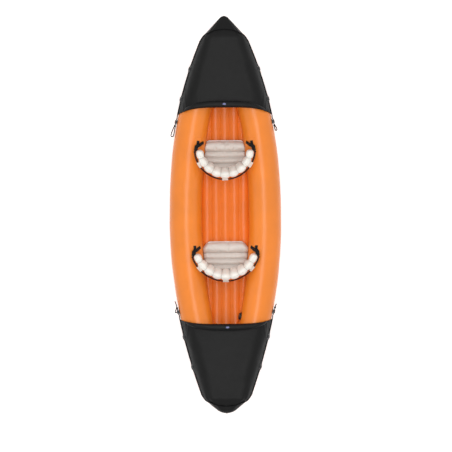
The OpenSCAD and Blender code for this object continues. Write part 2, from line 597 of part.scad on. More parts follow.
module valve_cap() {
    difference() {
        union() {
            translate([0, 0, 3.8]) cylinder(r = 26, h = 10.2);
            translate([-5, -hinge_r, hinge_h - 1.8]) cube([10, 14, 3.6]);
            translate([-5, -hinge_r, hinge_h]) rotate([0, 90, 0]) cylinder(r = 3.4, h = 10);
            translate([-8, 24, 8]) cube([16, 7, 4]);
        }
        translate([0, 0, 2]) cylinder(r = 22.6, h = 8);
        translate([-10, -hinge_r, hinge_h]) rotate([0, 90, 0]) cylinder(r = 2.2, h = 20);
    }
    for (a = [-30:30:210]) rotate([0, 0, a]) translate([25.6, 0, 6]) cylinder(r = 1.6, h = 6, $fn = 24);
}
module at_right_valve() on_skin(1, valve_y, valve_a, -valve_sink) children();
module at_left_valve() on_skin(-1, left_valve_y, valve_a, -valve_sink) rotate([0, 0, 180]) children();
module at_floor_valve() translate([0, floor_valve_y, top_z(0, floor_valve_y + hinge_r + 4) + 1.6])
    rotate([0, 0, 180]) children();
module right_valve_seat() color(black) at_right_valve() valve_seat();
module left_valve_seat() color(black) at_left_valve() valve_seat();
module floor_valve_seat() color(black) at_floor_valve() valve_seat();
module right_valve_insert() color(black) at_right_valve() valve_insert();
module left_valve_insert() color(black) at_left_valve() valve_insert();
module floor_valve_insert() color(black) at_floor_valve() valve_insert();
module valve_flaps() color(grey_white) {
    at_right_valve() valve_flap();
    at_left_valve() valve_flap();
    at_floor_valve() valve_flap();
}
module right_valve_cap() color(black) at_right_valve() valve_cap();
module left_valve_cap() color(black) at_left_valve() valve_cap();
module floor_valve_cap() color(black) at_floor_valve() valve_cap();

// Small valves of the rolls and seats: the plug's hinge lies towards local -X
module stem() {
    difference() {
        union() {
            translate([-15, -6.5, 0]) cube([26, 13, 1.6]);
            cylinder(r = 5.6, h = 8);
            for (y = [-5.4, 3.2]) translate([-13.2, y, 0]) cube([4.4, 2.2, 10]);
        }
        translate([0, 0, 1.6]) cylinder(r = 3.4, h = 20);
    }
    translate([-11, -4, 8]) rotate([-90, 0, 0]) cylinder(r = 0.9, h = 8, $fn = 24);
}
module plug() {
    difference() {
        union() {
            translate([0, 0, 8.4]) cylinder(r = 6.4, h = 2.2);
            translate([-11, -2.6, 8.4]) cube([8, 5.2, 1.6]);
            translate([-11, -2.6, 8]) rotate([-90, 0, 0]) cylinder(r = 2, h = 5.2, $fn = 24);
            translate([4, -3, 8.4]) cube([5, 6, 1.2]);
        }
        translate([-11, -4, 8]) rotate([-90, 0, 0]) cylinder(r = 1.3, h = 8, $fn = 24);
    }
    translate([0, 0, 6.6]) cylinder(r = 2.7, h = 2.2);
}
module at_roll(s, hem, u) {
    o = roll_axis(s, hem, u);
    translate([o.x, o.y, o.z + roll_r(u) + 0.7]) children();
}
module at_cushion(yh) translate([0, yh - rear_d / 2 - 0.3, hinge_z]) rotate([90, 0, 0]) children();
module at_back(yh) on_hinge(yh) translate([0, pad_y - back_t / 2 - 0.3, 112]) rotate([90, 0, 0])
    rotate([0, 0, -90]) children();
module bow_roll_stem() color(clear_blue) at_roll(1, bow_hem, 0) stem();
module stern_roll_stem() color(clear_blue) at_roll(-1, stern_hem, 0.04) stem();
module bow_cushion_stem() color(clear_blue) at_cushion(bow_seat_y) stem();
module stern_cushion_stem() color(clear_blue) at_cushion(stern_seat_y) stem();
module bow_back_stem() color(clear_blue) at_back(bow_seat_y) stem();
module stern_back_stem() color(clear_blue) at_back(stern_seat_y) stem();
module bow_roll_plug() color(clear_blue) at_roll(1, bow_hem, 0) plug();
module stern_roll_plug() color(clear_blue) at_roll(-1, stern_hem, 0.04) plug();
module bow_cushion_plug() color(clear_blue) at_cushion(bow_seat_y) plug();
module stern_cushion_plug() color(clear_blue) at_cushion(stern_seat_y) plug();
module bow_back_plug() color(clear_blue) at_back(bow_seat_y) plug();
module stern_back_plug() color(clear_blue) at_back(stern_seat_y) plug();

right_chamber();
left_chamber();
floor_top_sheet();
floor_bottom_sheet();
floor_webs();
bow_keel_strip();
stern_keel_strip();
bow_cover();
stern_cover();
bow_splash_roll();
stern_splash_roll();
bow_grab_line();
stern_grab_line();
bow_line_eyelets();
stern_line_eyelets();
line_tie_offs();
line_ends();
bow_cushion();
stern_cushion();
bow_anchor_patches();
stern_anchor_patches();
bow_anchor_straps();
stern_anchor_straps();
bow_buckles();
stern_buckles();
bow_strap_tails();
stern_strap_tails();
right_valve_seat();
left_valve_seat();
floor_valve_seat();
right_valve_insert();
left_valve_insert();
floor_valve_insert();
valve_flaps();
bow_roll_stem();
stern_roll_stem();
bow_cushion_stem();
stern_cushion_stem();
bow_backrest();
bow_back_strap();
bow_strap_keepers();
bow_back_stem();
bow_wing_straps();
bow_hinge_flap();
stern_hinge_flap();
stern_backrest();
stern_back_strap();
stern_strap_keepers();
stern_back_stem();
stern_wing_straps();
right_valve_cap();
left_valve_cap();
floor_valve_cap();
bow_roll_plug();
stern_roll_plug();
bow_cushion_plug();
stern_cushion_plug();
bow_back_plug();
stern_back_plug();
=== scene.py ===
"""Two-seat inflatable kayak: skins, soft goods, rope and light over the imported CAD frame."""
import math

import bmesh
import bpy
import numpy as np
from bpy.props import FloatProperty, FloatVectorProperty, PointerProperty
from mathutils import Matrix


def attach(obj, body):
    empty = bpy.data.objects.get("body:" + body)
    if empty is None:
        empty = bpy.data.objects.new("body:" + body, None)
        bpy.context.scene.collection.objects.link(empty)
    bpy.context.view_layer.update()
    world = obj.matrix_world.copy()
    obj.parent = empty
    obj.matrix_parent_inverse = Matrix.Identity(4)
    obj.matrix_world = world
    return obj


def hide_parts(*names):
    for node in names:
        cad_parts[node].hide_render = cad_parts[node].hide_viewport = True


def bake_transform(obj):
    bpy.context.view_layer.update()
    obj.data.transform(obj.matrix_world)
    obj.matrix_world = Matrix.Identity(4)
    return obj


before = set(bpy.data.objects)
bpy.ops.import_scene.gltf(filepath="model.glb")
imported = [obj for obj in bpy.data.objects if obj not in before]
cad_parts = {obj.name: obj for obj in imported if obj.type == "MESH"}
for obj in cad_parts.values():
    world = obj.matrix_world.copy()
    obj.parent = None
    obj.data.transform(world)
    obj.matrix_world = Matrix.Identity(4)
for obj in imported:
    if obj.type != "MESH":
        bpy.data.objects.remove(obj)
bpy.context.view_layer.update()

bl_info = {
    "name": "Two-seat inflatable kayak",
    "version": (1, 0, 0),
    "blender": (4, 5, 0),
    "location": "View3D > Sidebar > Kayak",
    "description": "Builds the kayak's skins, covers, seats, webbing and rope on its CAD frame",
    "category": "Object",
}

MM = 0.001
TURN = 6.28  # radians, near enough to a whole turn for uneven waves

# Hull form in millimetres and degrees, as in the part's source: +Y to the bow, +X to starboard.
# Values in braces go by end, 1 for the bow and -1 for the stern, or by side, 1 for starboard.
HULL_LEN = 3210
HULL_BEAM = 905
TUBE_D = 264
SHEER = 45
WIDE_Y = -60
BOW_FULLNESS = 2.38
STERN_FULLNESS = 1.95
BOW_REACH = 0.57 * HULL_LEN
STERN_REACH = 0.5785 * HULL_LEN
BOW_NOSE = 170
STERN_NOSE = 118
NOSE_TIP = {1: 0.1, -1: 0.23}
NOSE_RISE = {1: 0.15, -1: 0.1}
TIP_HALF = 3
TIP_ZONE = 75
CORNER_EASE = 9
TUBE_EASE = 45
TUBE_BLEND = 8
TUBE_MIN_R = 1.2
COVER_T = 2
COVER_GAP = 1.5
TIP_Y = HULL_LEN / 2 - COVER_GAP - COVER_T
BOW_KINK = TIP_Y - BOW_NOSE
STERN_KINK = -TIP_Y + STERN_NOSE

# Welds of the side tubes: puckers where the floor joins, and a flat band outside
FLOOR_WELD_A = -133
FLOOR_WELD_SPREAD = 13
BAND_A = (106, 120)
BAND_EDGE = 2
BAND_T = 0.8

# Floor
FLOOR_T = 88
FLOOR_END = 0.402 * HULL_LEN
FLOOR_GAP = 1.9
FLOOR_MIN = 14
FLOOR_SIDE_ROUND = 42
FLOOR_END_ROUND = 90
RIB_PITCH = 75
RIB_SHARE = 0.92
RIB_WAIST = 0.2
OUTER_RIB = 2.5 * RIB_PITCH
SHEET_T = 1.6
SEAM_Z = 0.48 * FLOOR_T
WELD_GAP = 0.2
UNDER_TUBE = 4
PUCKER_W = 13
PUCKER_FROM = 0.2
GROUND_GAP = 0.1

# Covers and splash rolls. A cover's columns are numbered from its middle: 1 is a tube's crest.
BOW_HEM = 863
STERN_HEM = 880
ENDS = ((1, "bow", BOW_HEM), (-1, "stern", STERN_HEM))
ARCH = {1: 50, -1: 32}
ARCH_REACH = 260
DECK_CROWN = 8
COVER_K = 8
COLUMN_A = 18
COLUMN_W = 41
CLOSE_AT = 0.93
HEM_W = 27
HEM_T = 1.1
SEAM_K = 4.7
SEAM_T = 1.3
# Folds that run out from a roll: column, columns drifted per mm, width, share of the height, reach
FOLDS = ((2.6, 0.013, 8, 0.8, 130), (3.4, 0.008, 7, 0.6, 100), (1.0, -0.003, 14, 0.5, 240))
# Rings that close a cover's tip: share of the last row's size, distance ahead of the tubes
TIP_RINGS = ((0.86, 2.2), (0.55, 3.2), (0.12, 3.5))
# Distances short of a cover's tip between which its folds die out, and its gathers start
FOLDS_END = (20, 60)
GATHERS_START = (70, 230)
ROLL_D = 54
ROLL_END_R = 4
ROLL_SHARE = 0.9

# Seats
BOW_SEAT_Y = 343
STERN_SEAT_Y = -477
SEAT_LEN = 262
SEAT_W = 372
CELL_W = 72
BOW_BACK_R = 204
STERN_BACK_R = 240
BACK_T = 62
BACK_H = 255
BACK_LEAN = 8.6
BACK_MAX = 15
PAD_Y = 8
REAR_D = 42
FLAP_W = 60
FRONT_D = 82
ROW_D = 56
FLANGE_L = 13
FLANGE_LAP = 12
FLANGE_Z = 33
FLANGE_T = 1.4
FLANGE_CORNER = 22
PAD_FRONT = SEAT_LEN - FLANGE_L
VALLEY_W = 5
VALLEY_DEPTH = 9
PAD_ROUND = 34
CORNER_CUT = 58
CORNER_SLOPE = 0.75
LAST_CELL = 4
HALF_CELLS = LAST_CELL + 0.5
# Lower end of the backrests' cells, by distance from the middle cell
CELL_FOOT = ([0, 2.35, 2.65, 3.35, 3.65, 4.5], [30, 30, 92, 92, 128, 128])
# Share of a cell's thickness, by share of its height
CELL_SHAPE = ([0, 0.03, 0.1, 0.28, 0.56, 0.78, 0.93, 0.985, 1],
              [0, 0.4, 0.72, 0.98, 1, 0.93, 0.72, 0.42, 0])
CELL_WAIST = 0.52
BELLY = 21
STRIP_H = 9
STRIP_LAP = 3
STRIP_T = 1.3
CLOTH_FRAMES = 20
SEATS = {"bow": (BOW_SEAT_Y, BOW_BACK_R), "stern": (STERN_SEAT_Y, STERN_BACK_R)}

# Webbing
WEB_W = 25
STRAP_T = 1.8
STRAP_STEP = 3
STRAP_Z = BACK_H - 72
STRAP_TILT = 32
STRAP_CELLS = 4.1
STRAP_OUT = BACK_T / 2 + 7.6
ANCHOR_A = -30
ANCHOR_AHEAD = 78
BUCKLE_TILT = 50
BUCKLE_AT = 0.46
PATCH_OFF = 0.7
PATCH_T = 1.5
PATCH_AHEAD = 12
PATCH_HALF = 37
PATCH_HALF_A = 14
TAIL_A = -50

# Stitching: rows and columns of a cover's grid that carry it, and its box on an anchor strap
HEM_ROWS = (2, 4)
SEAM_ROWS = slice(3, -9)
EDGE_COLUMNS = (2, -3)
SEAM_COLUMNS = (26, 27, -28, -27)
THREAD_LIFT = 0.3
THREAD_SHARE = 0.7
BOX_STITCH = ((2, -9), (20, -9), (20, 9), (2, 9), (2, -9), (20, 9), (20, -9), (2, 9))

# Rope and valves
ROPE_D = 8
ROPE_A = 78
ROPE_OFF = 13.5
ROPE_ON_TUBE = 4.4
ROPE_OVER_HEM = 5.2
ROPE_ON_NOSE = 8.6
KNOT_GAP = 19
TIE_HALF = 14
EYE_HALF = 6
EYE_SPREAD = 18
EYE_PITCH = 243
BOW_EYE_Y = BOW_HEM + 73
STERN_EYE_Y = -(STERN_HEM + 109)
BOW_TIE_Y = BOW_HEM - 125
STERN_TIE_Y = -(STERN_HEM - 110)
# The line's way over a nose: distance past the nose's corner, angle on the tube
ROPE_NOSE = [(10, 66), (26, 48), (40, 28), (52, 8)]
ROPE_NOSE_END = 62
# Ends of the lines: name, side, place, length, width and droop of the loop, and length of the tail
LINE_ENDS = [("bow_left", -1, BOW_TIE_Y - KNOT_GAP, 90, 30, 12, 0),
             ("bow_right", 1, BOW_TIE_Y - KNOT_GAP, 42, 24, 10, 0),
             ("stern_left", -1, STERN_TIE_Y + KNOT_GAP, 56, 25, 52, 52),
             ("stern_right", 1, STERN_TIE_Y + KNOT_GAP, 0, 0, 0, 26)]
STUB_MAX = 30
VALVE_A = -80
VALVE_SINK = 4.6
VALVE_Y = {1: -(STERN_HEM - 57), -1: -(STERN_HEM + 38)}
FLOOR_VALVE_Y = BOW_HEM + 67
VALVE_R = 33
CAP_HINGE_R = 37
VALVE_SOFT = 36
VALVE_DEPTH = 45
TUBE_UNDER_VALVE = 0.7
FLOOR_UNDER_VALVE = 0.6

# The photograph's frame: 452 pixels square, seen from straight above
PHOTO_SIDE = 452
MM_PER_PIXEL = 8.106
VIEW_CENTRE = (4.5, -91.6)
VIEW_DISTANCE = 24000
VIEW_PLANE = 150
VIEW_ROLL = -0.43
SENSOR_W = 36

# Light and shared finishes
WHITE = (1, 1, 1, 1)
ROOM_LIGHT = 0.64
PAPER_LIFT = 0.55
LAMP_AIM_Z = 0.15
# Name, place and size in metres, and power in watts
LAMPS = (("overhead", (0, 0, 3.4), (0.9, 4.6), 58), ("left_fill", (-3.2, -0.6, 2.2), (3, 4), 8),
         ("right_fill", (3.2, 0.6, 2.2), (3, 4), 8))
FLOOR_HALF = 40
PVC_IOR = 1.53


def srgb(code):
    """Linear RGBA of an sRGB hex colour."""
    parts = [int(code[i:i + 2], 16) / 255 for i in (1, 3, 5)]
    return [p / 12.92 if p <= 0.04045 else ((p + 0.055) / 1.055) ** 2.4 for p in parts] + [1.0]


def colour_property(name, description, code):
    return FloatVectorProperty(name=name, description=description, subtype="COLOR", size=4,
                               min=0, max=1, default=srgb(code))


def length_property(name, description, default, low, high):
    return FloatProperty(name=name, description=description, default=default, unit="LENGTH",
                         min=low, max=high)


class KayakColours(bpy.types.PropertyGroup):
    """Colours of the kayak's materials."""
    tube: colour_property("Tubes", "Outer tubes' PVC", "#F08526")
    floor: colour_property("Floor", "Floor's PVC", "#EE7926")
    cover: colour_property("Covers", "Coated polyester of the covers", "#0C0C0C")
    cushion: colour_property("Cushions", "PVC film of the cushions", "#D3C9C1")
    backrest: colour_property("Backrests", "PVC film of the backrests", "#F0EBE3")
    webbing: colour_property("Webbing", "Woven straps and rope", "#0D0D0E")


class KayakSizes(bpy.types.PropertyGroup):
    """Sizes that change the look of the soft pieces."""
    pucker: length_property("Pucker depth", "Depth of the puckers along welds", 0.0022, 0, 0.006)
    fold: length_property("Cover fold height", "Height of the folds in the covers", 0.005, 0, 0.009)
    voxel: length_property("Cloth grid", "Spacing of the cloth's points", 0.005, 0.003, 0.01)
    swell: length_property("Swell", "Furthest that a point of a pad may move", 0.006, 0, 0.016)
    stitch: length_property("Stitch pitch", "Distance between stitches", 0.0062, 0.003, 0.01)
    pressure: FloatProperty(name="Pressure", description="Air pressure in the pads", default=4.0,
                            min=0, max=10)


# Hull form


def plan_half(y):
    """Half the beam of the fair hull, without its noses."""
    d = np.asarray(y, float) - WIDE_Y
    bow = (np.abs(d) / BOW_REACH) ** BOW_FULLNESS
    stern = (np.abs(d) / STERN_REACH) ** STERN_FULLNESS
    return HULL_BEAM / 2 * (1 - np.where(d >= 0, bow, stern))


def by_part(y, bow, middle, stern):
    """Values for the bow's nose, the hull's middle and the stern's nose, put together."""
    return np.where(y > BOW_KINK, bow, np.where(y < STERN_KINK, stern, middle))


def half_w_sharp(y):
    """Half the beam with a corner where each nose starts."""
    y = np.asarray(y, float)
    bow = plan_half(BOW_KINK) * (1 - (1 - NOSE_TIP[1]) * (y - BOW_KINK) / BOW_NOSE)
    stern = plan_half(STERN_KINK) * (1 - (1 - NOSE_TIP[-1]) * (STERN_KINK - y) / STERN_NOSE)
    return by_part(y, bow, plan_half(y), stern)


def half_w(y, ease=CORNER_EASE):
    """Half the beam, with the corners where the noses start eased and round tips."""
    y = np.asarray(y, float)
    total = sum(0.2 * half_w_sharp(y + d * ease) for d in (-1, -0.5, 0, 0.5, 1))
    for s, kink, nose in ((1, BOW_KINK, BOW_NOSE), (-1, STERN_KINK, STERN_NOSE)):
        w0 = NOSE_TIP[s] * plan_half(kink)
        slope = (plan_half(kink) - w0) / nose
        r = w0 / (math.hypot(1, slope) - slope)
        ahead = np.maximum(0, TIP_Y - s * y)
        tip = np.sqrt(np.maximum(TIP_HALF ** 2, 2 * r * ahead - ahead ** 2))
        total = np.where(ahead < r * (1 - slope / math.hypot(1, slope)), tip, total)
    return total


def tube_r(y):
    """Radius of a side tube: its full size, or half of what a nose leaves, with a soft change."""
    near_tip = np.abs(y) > TIP_Y - TIP_ZONE
    a, b = TUBE_D / 2, np.where(near_tip, half_w(y), half_w(y, TUBE_EASE)) / 2 - 0.5
    return np.maximum(TUBE_MIN_R, (a + b) / 2 - np.sqrt(((a - b) / 2) ** 2 + TUBE_BLEND ** 2))


def tube_x(y):
    return half_w(y) - tube_r(y)


def sheer_z(y):
    """Height of the tubes' crests between the noses, rising to both ends."""
    return 2 * tube_r(WIDE_Y) + SHEER * (np.abs(y) / (HULL_LEN / 2)) ** 2.2


def kink_z(y):
    return sheer_z(y) - tube_r(y)


def tube_z(y):
    """Height of the tubes' axes, straight in the noses."""
    y = np.asarray(y, float)
    bow = kink_z(BOW_KINK) + NOSE_RISE[1] * (y - BOW_KINK)
    stern = kink_z(STERN_KINK) + NOSE_RISE[-1] * (STERN_KINK - y)
    return by_part(y, bow, kink_z(y), stern)


def tube_top(y):
    return tube_z(y) + tube_r(y)


def keel_z(y):
    return tube_z(y) - tube_r(y)


def unit(v):
    v = np.asarray(v, float)
    return v / np.maximum(np.linalg.norm(v, axis=-1, keepdims=True), 1e-12)


def skin(side, y, a, off=0):
    """Points on a side tube: a is in degrees from the crest, positive outboard."""
    side, y, a, off = np.broadcast_arrays(*(np.asarray(v, float) for v in (side, y, a, off)))
    turn, r = np.radians(a), tube_r(y) + off
    return np.stack([side * (tube_x(y) + r * np.sin(turn)), y, tube_z(y) + r * np.cos(turn)], -1)


def along(side, y, a):
    """Direction of a side tube's skin towards the bow."""
    return unit(skin(side, y + 2, a) - skin(side, y - 2, a))


def outward(side, y, a):
    """Direction out of a side tube's skin."""
    t = along(side, y, a)
    n = np.array([side * math.sin(math.radians(a)), 0, math.cos(math.radians(a))])
    return unit(n - (n @ t) * t)


def stand_off(side, y, a, off):
    return skin(side, y, a) + off * outward(side, y, a)


def smoothstep(a, b, x):
    t = np.clip((x - a) / (b - a), 0, 1)
    return t * t * (3 - 2 * t)


def ripple(u, v, length, seed):
    """Uneven waves about length mm long over two coordinates in mm, from about -1 to 1."""
    rng = np.random.default_rng(seed)
    total = 0
    for _ in range(7):
        turn, stretch, phase = rng.uniform(0, TURN), rng.uniform(0.65, 1.5), rng.uniform(0, TURN)
        across = u * math.cos(turn) + v * math.sin(turn)
        total = total + np.sin(TURN * across / (length * stretch) + phase)
    return total / 4


def waves(u, length, seed):
    """Uneven waves along one coordinate."""
    rng = np.random.default_rng(seed)
    total = 0
    for _ in range(5):
        total = total + np.sin(TURN * u / (length * rng.uniform(0.6, 1.6)) + rng.uniform(0, TURN))
    return total / 3


def curve_through(points, n):
    """A Catmull-Rom curve through points, n steps to a span."""
    p = np.asarray(points, float)
    p = np.vstack([2 * p[0] - p[1], p, 2 * p[-1] - p[-2]])
    t = np.linspace(0, 1, n, endpoint=False)[:, None]
    spans = []
    for a, b, c, d in zip(p, p[1:], p[2:], p[3:]):
        spans.append((2 * b + (c - a) * t + (2 * a - 5 * b + 4 * c - d) * t ** 2
                      + (3 * b - a - 3 * c + d) * t ** 3) / 2)
    return np.vstack(spans + [p[-2:-1]])


def run_along(path):
    """Distance of each point along a line from its start."""
    return np.r_[0, np.cumsum(np.linalg.norm(np.diff(path, axis=0), axis=1))]


def even(points, step):
    """The same line with points a step apart."""
    p = np.asarray(points, float)
    run = run_along(p)
    at = np.linspace(0, run[-1], max(2, int(run[-1] / step) + 1))
    return np.stack([np.interp(at, run, p[:, k]) for k in range(3)], -1)


# Meshes


def grid_faces(m, n, start=0, wrap=False, flip=False):
    """Quads over m rows of n points."""
    j, i = np.meshgrid(np.arange(m - 1), np.arange(n if wrap else n - 1), indexing="ij")
    a, b = j * n + i, j * n + (i + 1) % n
    quads = np.stack([a, b, b + n, a + n], -1).reshape(-1, 4) + start
    return quads[:, ::-1] if flip else quads


def tube_faces(m, n):
    """Quads round m rings of n points, with a face on each end."""
    return [*grid_faces(m, n, wrap=True), np.arange(n)[::-1], (m - 1) * n + np.arange(n)]


def flat_map(across, run):
    """A UV map in mm from distances across and along a grid."""
    return np.stack(np.broadcast_arrays(across, run), -1).reshape(-1, 2)


def linked(name, data):
    """A new object in the scene."""
    obj = bpy.data.objects.new(name, data)
    bpy.context.scene.collection.objects.link(obj)
    return obj


def piece(name, points, faces, material, body, replaces=(), uv=None, merge=0.0):
    """A smooth mesh object from points in mm. body may be None, and then the piece is attached to no body.
    """
    mesh = bpy.data.meshes.new(name)
    mesh.from_pydata((np.asarray(points) * MM).tolist(), [], [list(map(int, f)) for f in faces])
    if uv is not None:
        layer = mesh.uv_layers.new(name="flat")
        corners = np.zeros(len(mesh.loops), np.int32)
        mesh.loops.foreach_get("vertex_index", corners)
        layer.data.foreach_set("uv", (np.asarray(uv)[corners] * MM).astype(np.float32).ravel())
    obj = linked(name, mesh)
    close_up(mesh, merge)
    mesh.materials.append(material)
    return seat(obj, body, replaces)


def close_up(mesh, merge):
    """Joins doubles, turns every face outwards and shades the mesh smooth."""
    work = bmesh.new()
    work.from_mesh(mesh)
    if merge:
        bmesh.ops.remove_doubles(work, verts=work.verts, dist=merge * MM)
        bmesh.ops.dissolve_degenerate(work, edges=work.edges, dist=0.01 * MM)
    bmesh.ops.recalc_face_normals(work, faces=work.faces)
    work.to_mesh(mesh)
    work.free()
    mesh.polygons.foreach_set("use_smooth", np.ones(len(mesh.polygons), bool))
    mesh.update()


def seat(obj, body, replaces):
    """Says which body a piece rides on, and the CAD nodes it stands in for."""
    if body:
        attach(obj, body)
    if replaces:
        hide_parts(*replaces)
    return obj


def normals(grid):
    """Direction out of a grid at each of its points."""
    down, across = np.gradient(grid, axis=0), np.gradient(grid, axis=1)
    return unit(np.cross(across, down))


def sandwich(front, back):
    """Points and faces of a closed shell between two grids of one shape."""
    m, n = front.shape[:2]
    ring = np.r_[np.arange(n), np.arange(1, m) * n + n - 1,
                 (m - 1) * n + np.arange(n - 2, -1, -1), np.arange(m - 2, 0, -1) * n]
    following = np.roll(ring, -1)
    rim = np.stack([ring, ring + m * n, following + m * n, following], -1)
    faces = np.vstack([grid_faces(m, n), grid_faces(m, n, m * n, flip=True), rim])
    return np.vstack([front.reshape(-1, 3), back.reshape(-1, 3)]), faces


def thick_sheet(grid, thickness):
    """Points and faces of a closed sheet with the grid as its one face."""
    return sandwich(grid, grid - normals(grid) * thickness)


def strap(path, width):
    """A flat strap with rounded selvedges: points, faces and a UV map in mm along its weave."""
    tangent = unit(np.gradient(path, axis=0))
    u = unit(width - np.sum(width * tangent, -1, keepdims=True) * tangent)
    n = np.cross(tangent, u)
    w, t = WEB_W, STRAP_T
    half = [(w / 2 - t / 2 + t / 2 * math.cos(q), t / 2 * math.sin(q)) for q in np.linspace(-1.57, 1.57, 5)]
    half += [(w / 2 - t / 2 - k * (w - t) / 8, t / 2) for k in range(1, 8)]
    section = np.array(half + [(-a, -b) for a, b in half])
    points = path[:, None] + section[None, :, :1] * u[:, None] + section[None, :, 1:] * n[:, None]
    uv = flat_map(section[None, :, 0], run_along(path)[:, None])
    return points.reshape(-1, 3), tube_faces(*points.shape[:2]), uv


def rope_tube(path, ring=False):
    """A braided rope along a line, or round a ring: points, faces and a UV map in mm round and along it."""
    sides, strands, lay = 14, 3, 0.05
    t = unit(np.gradient(path, axis=0))
    u = np.zeros_like(t)
    u[0] = unit(np.cross(t[0], [0.3, 0.2, 0.9]))
    for i in range(1, len(t)):
        u[i] = unit(u[i - 1] - (u[i - 1] @ t[i]) * t[i])
    n = np.cross(t, u)
    run = run_along(path)
    q = np.arange(sides) * 2 * math.pi / sides
    twist = run[:, None] * 2 * math.pi / (3.2 * ROPE_D)
    bulge = np.maximum(np.cos(strands * q + twist), np.cos(strands * q - twist))
    r = ROPE_D / 2 * (1 - lay + lay * bulge)
    points = path[:, None] + r[..., None] * (np.cos(q)[None, :, None] * u[:, None]
                                             + np.sin(q)[None, :, None] * n[:, None])
    m = len(path)
    faces = grid_faces(m + 1, sides, wrap=True) % (m * sides) if ring else tube_faces(m, sides)
    return points.reshape(-1, 3), faces, flat_map(q[None] * ROPE_D / 2, run[:, None])


# Materials


def feed(tree, node, inputs):
    """Sets a node's inputs, by name or number, to values or to other nodes' outputs."""
    for name, value in inputs.items():
        if isinstance(value, bpy.types.NodeSocket):
            tree.links.new(value, node.inputs[name])
        else:
            node.inputs[name].default_value = value


def add(tree, kind, inputs=None, **settings):
    """Adds a node with its settings and inputs."""
    node = tree.nodes.new(kind)
    for name, value in settings.items():
        setattr(node, name, value)
    feed(tree, node, inputs or {})
    return node


def made(name, recipe, base, **values):
    """The named material, made by its recipe when it is first asked for. A recipe adds nodes and
    returns what goes into the surface's inputs."""
    material = bpy.data.materials.get(name)
    if material is None:
        material = bpy.data.materials.new(name)
        material.use_nodes = True
        tree = material.node_tree
        feed(tree, tree.nodes["Principled BSDF"], recipe(tree, base, **values))
    return material


def colour(part):
    return list(getattr(bpy.context.scene.kayak_colours, part))


def darker(base, share):
    return [c * share for c in base[:3]] + [1.0]


def per(size):
    """A noise texture's scale for patches of a size in mm."""
    return 1 / (size * MM)


def bands(pitch):
    """A wave texture's scale for bands a pitch apart in mm."""
    return 2 * math.pi / (20 * pitch * MM)


def shades(tree, vector, base, dark, size):
    """A slow drift between a colour and its darker tone, in patches of a size in mm."""
    drift = add(tree, "ShaderNodeTexNoise", {"Vector": vector, "Scale": per(size), "Detail": 3.0})
    ramp = add(tree, "ShaderNodeMapRange", {"Value": drift.outputs["Fac"], 1: 0.35, 2: 0.65})
    mix = add(tree, "ShaderNodeMix", {0: ramp.outputs[0], 6: darker(base, dark), 7: base}, data_type="RGBA")
    return mix.outputs[2]


def calendered_pvc(tree, base, roughness, shine):
    """Plasticised PVC rolled between polished cylinders: satin, with a faint pressed grain and scuffs.
    The grain is drawn 1.6 mm wide, coarser than the real one, so that it shows."""
    at = add(tree, "ShaderNodeTexCoord").outputs["Object"]
    scuff = add(tree, "ShaderNodeTexNoise", {"Vector": at, "Scale": per(60), "Detail": 6.0})
    rough = add(tree, "ShaderNodeMapRange", {"Value": scuff.outputs["Fac"], 3: roughness - 0.05,
                                             4: roughness + 0.05})
    slack = add(tree, "ShaderNodeTexNoise", {"Vector": at, "Scale": per(35), "Detail": 2.0})
    soft = add(tree, "ShaderNodeBump", {"Height": slack.outputs["Fac"], "Strength": 0.1,
                                        "Distance": 1.6 * MM})
    grain = add(tree, "ShaderNodeTexNoise", {"Vector": at, "Scale": per(1.6), "Detail": 2.0})
    bump = add(tree, "ShaderNodeBump", {"Height": grain.outputs["Fac"], "Strength": 0.25,
                                        "Distance": 0.2 * MM, "Normal": soft.outputs["Normal"]})
    return {"Base Color": shades(tree, at, base, 0.9, 280), "Roughness": rough.outputs[0], "IOR": PVC_IOR,
            "Specular IOR Level": shine, "Normal": bump.outputs["Normal"]}


def film_pvc(tree, base):
    """Thin blown PVC film over welded air cells: pale, satin, a little light passes through it.
    Points near welds get painted shade: the colour darkens into the creases between cells."""
    at = add(tree, "ShaderNodeTexCoord").outputs["Object"]
    # Painted shade: towards each weld the film's colour is mixed to a darker tone, as in the creases' shade
    weld = add(tree, "ShaderNodeAttribute", attribute_name="weld").outputs["Fac"]
    tone = add(tree, "ShaderNodeMix", {0: weld, 6: shades(tree, at, base, 0.95, 120),
                                       7: darker(base, 0.66)}, data_type="RGBA")
    crimp = add(tree, "ShaderNodeTexNoise", {"Vector": at, "Scale": per(30), "Detail": 3.0,
                                             "Distortion": 0.6})
    bump = add(tree, "ShaderNodeBump", {"Height": crimp.outputs["Fac"], "Strength": 0.1,
                                        "Distance": 1.4 * MM})
    return {"Base Color": tone.outputs[2], "Roughness": 0.36, "IOR": PVC_IOR, "Subsurface Weight": 0.06,
            "Subsurface Radius": (4 * MM, 3 * MM, 2.5 * MM), "Subsurface Scale": 1.0,
            "Normal": bump.outputs["Normal"]}


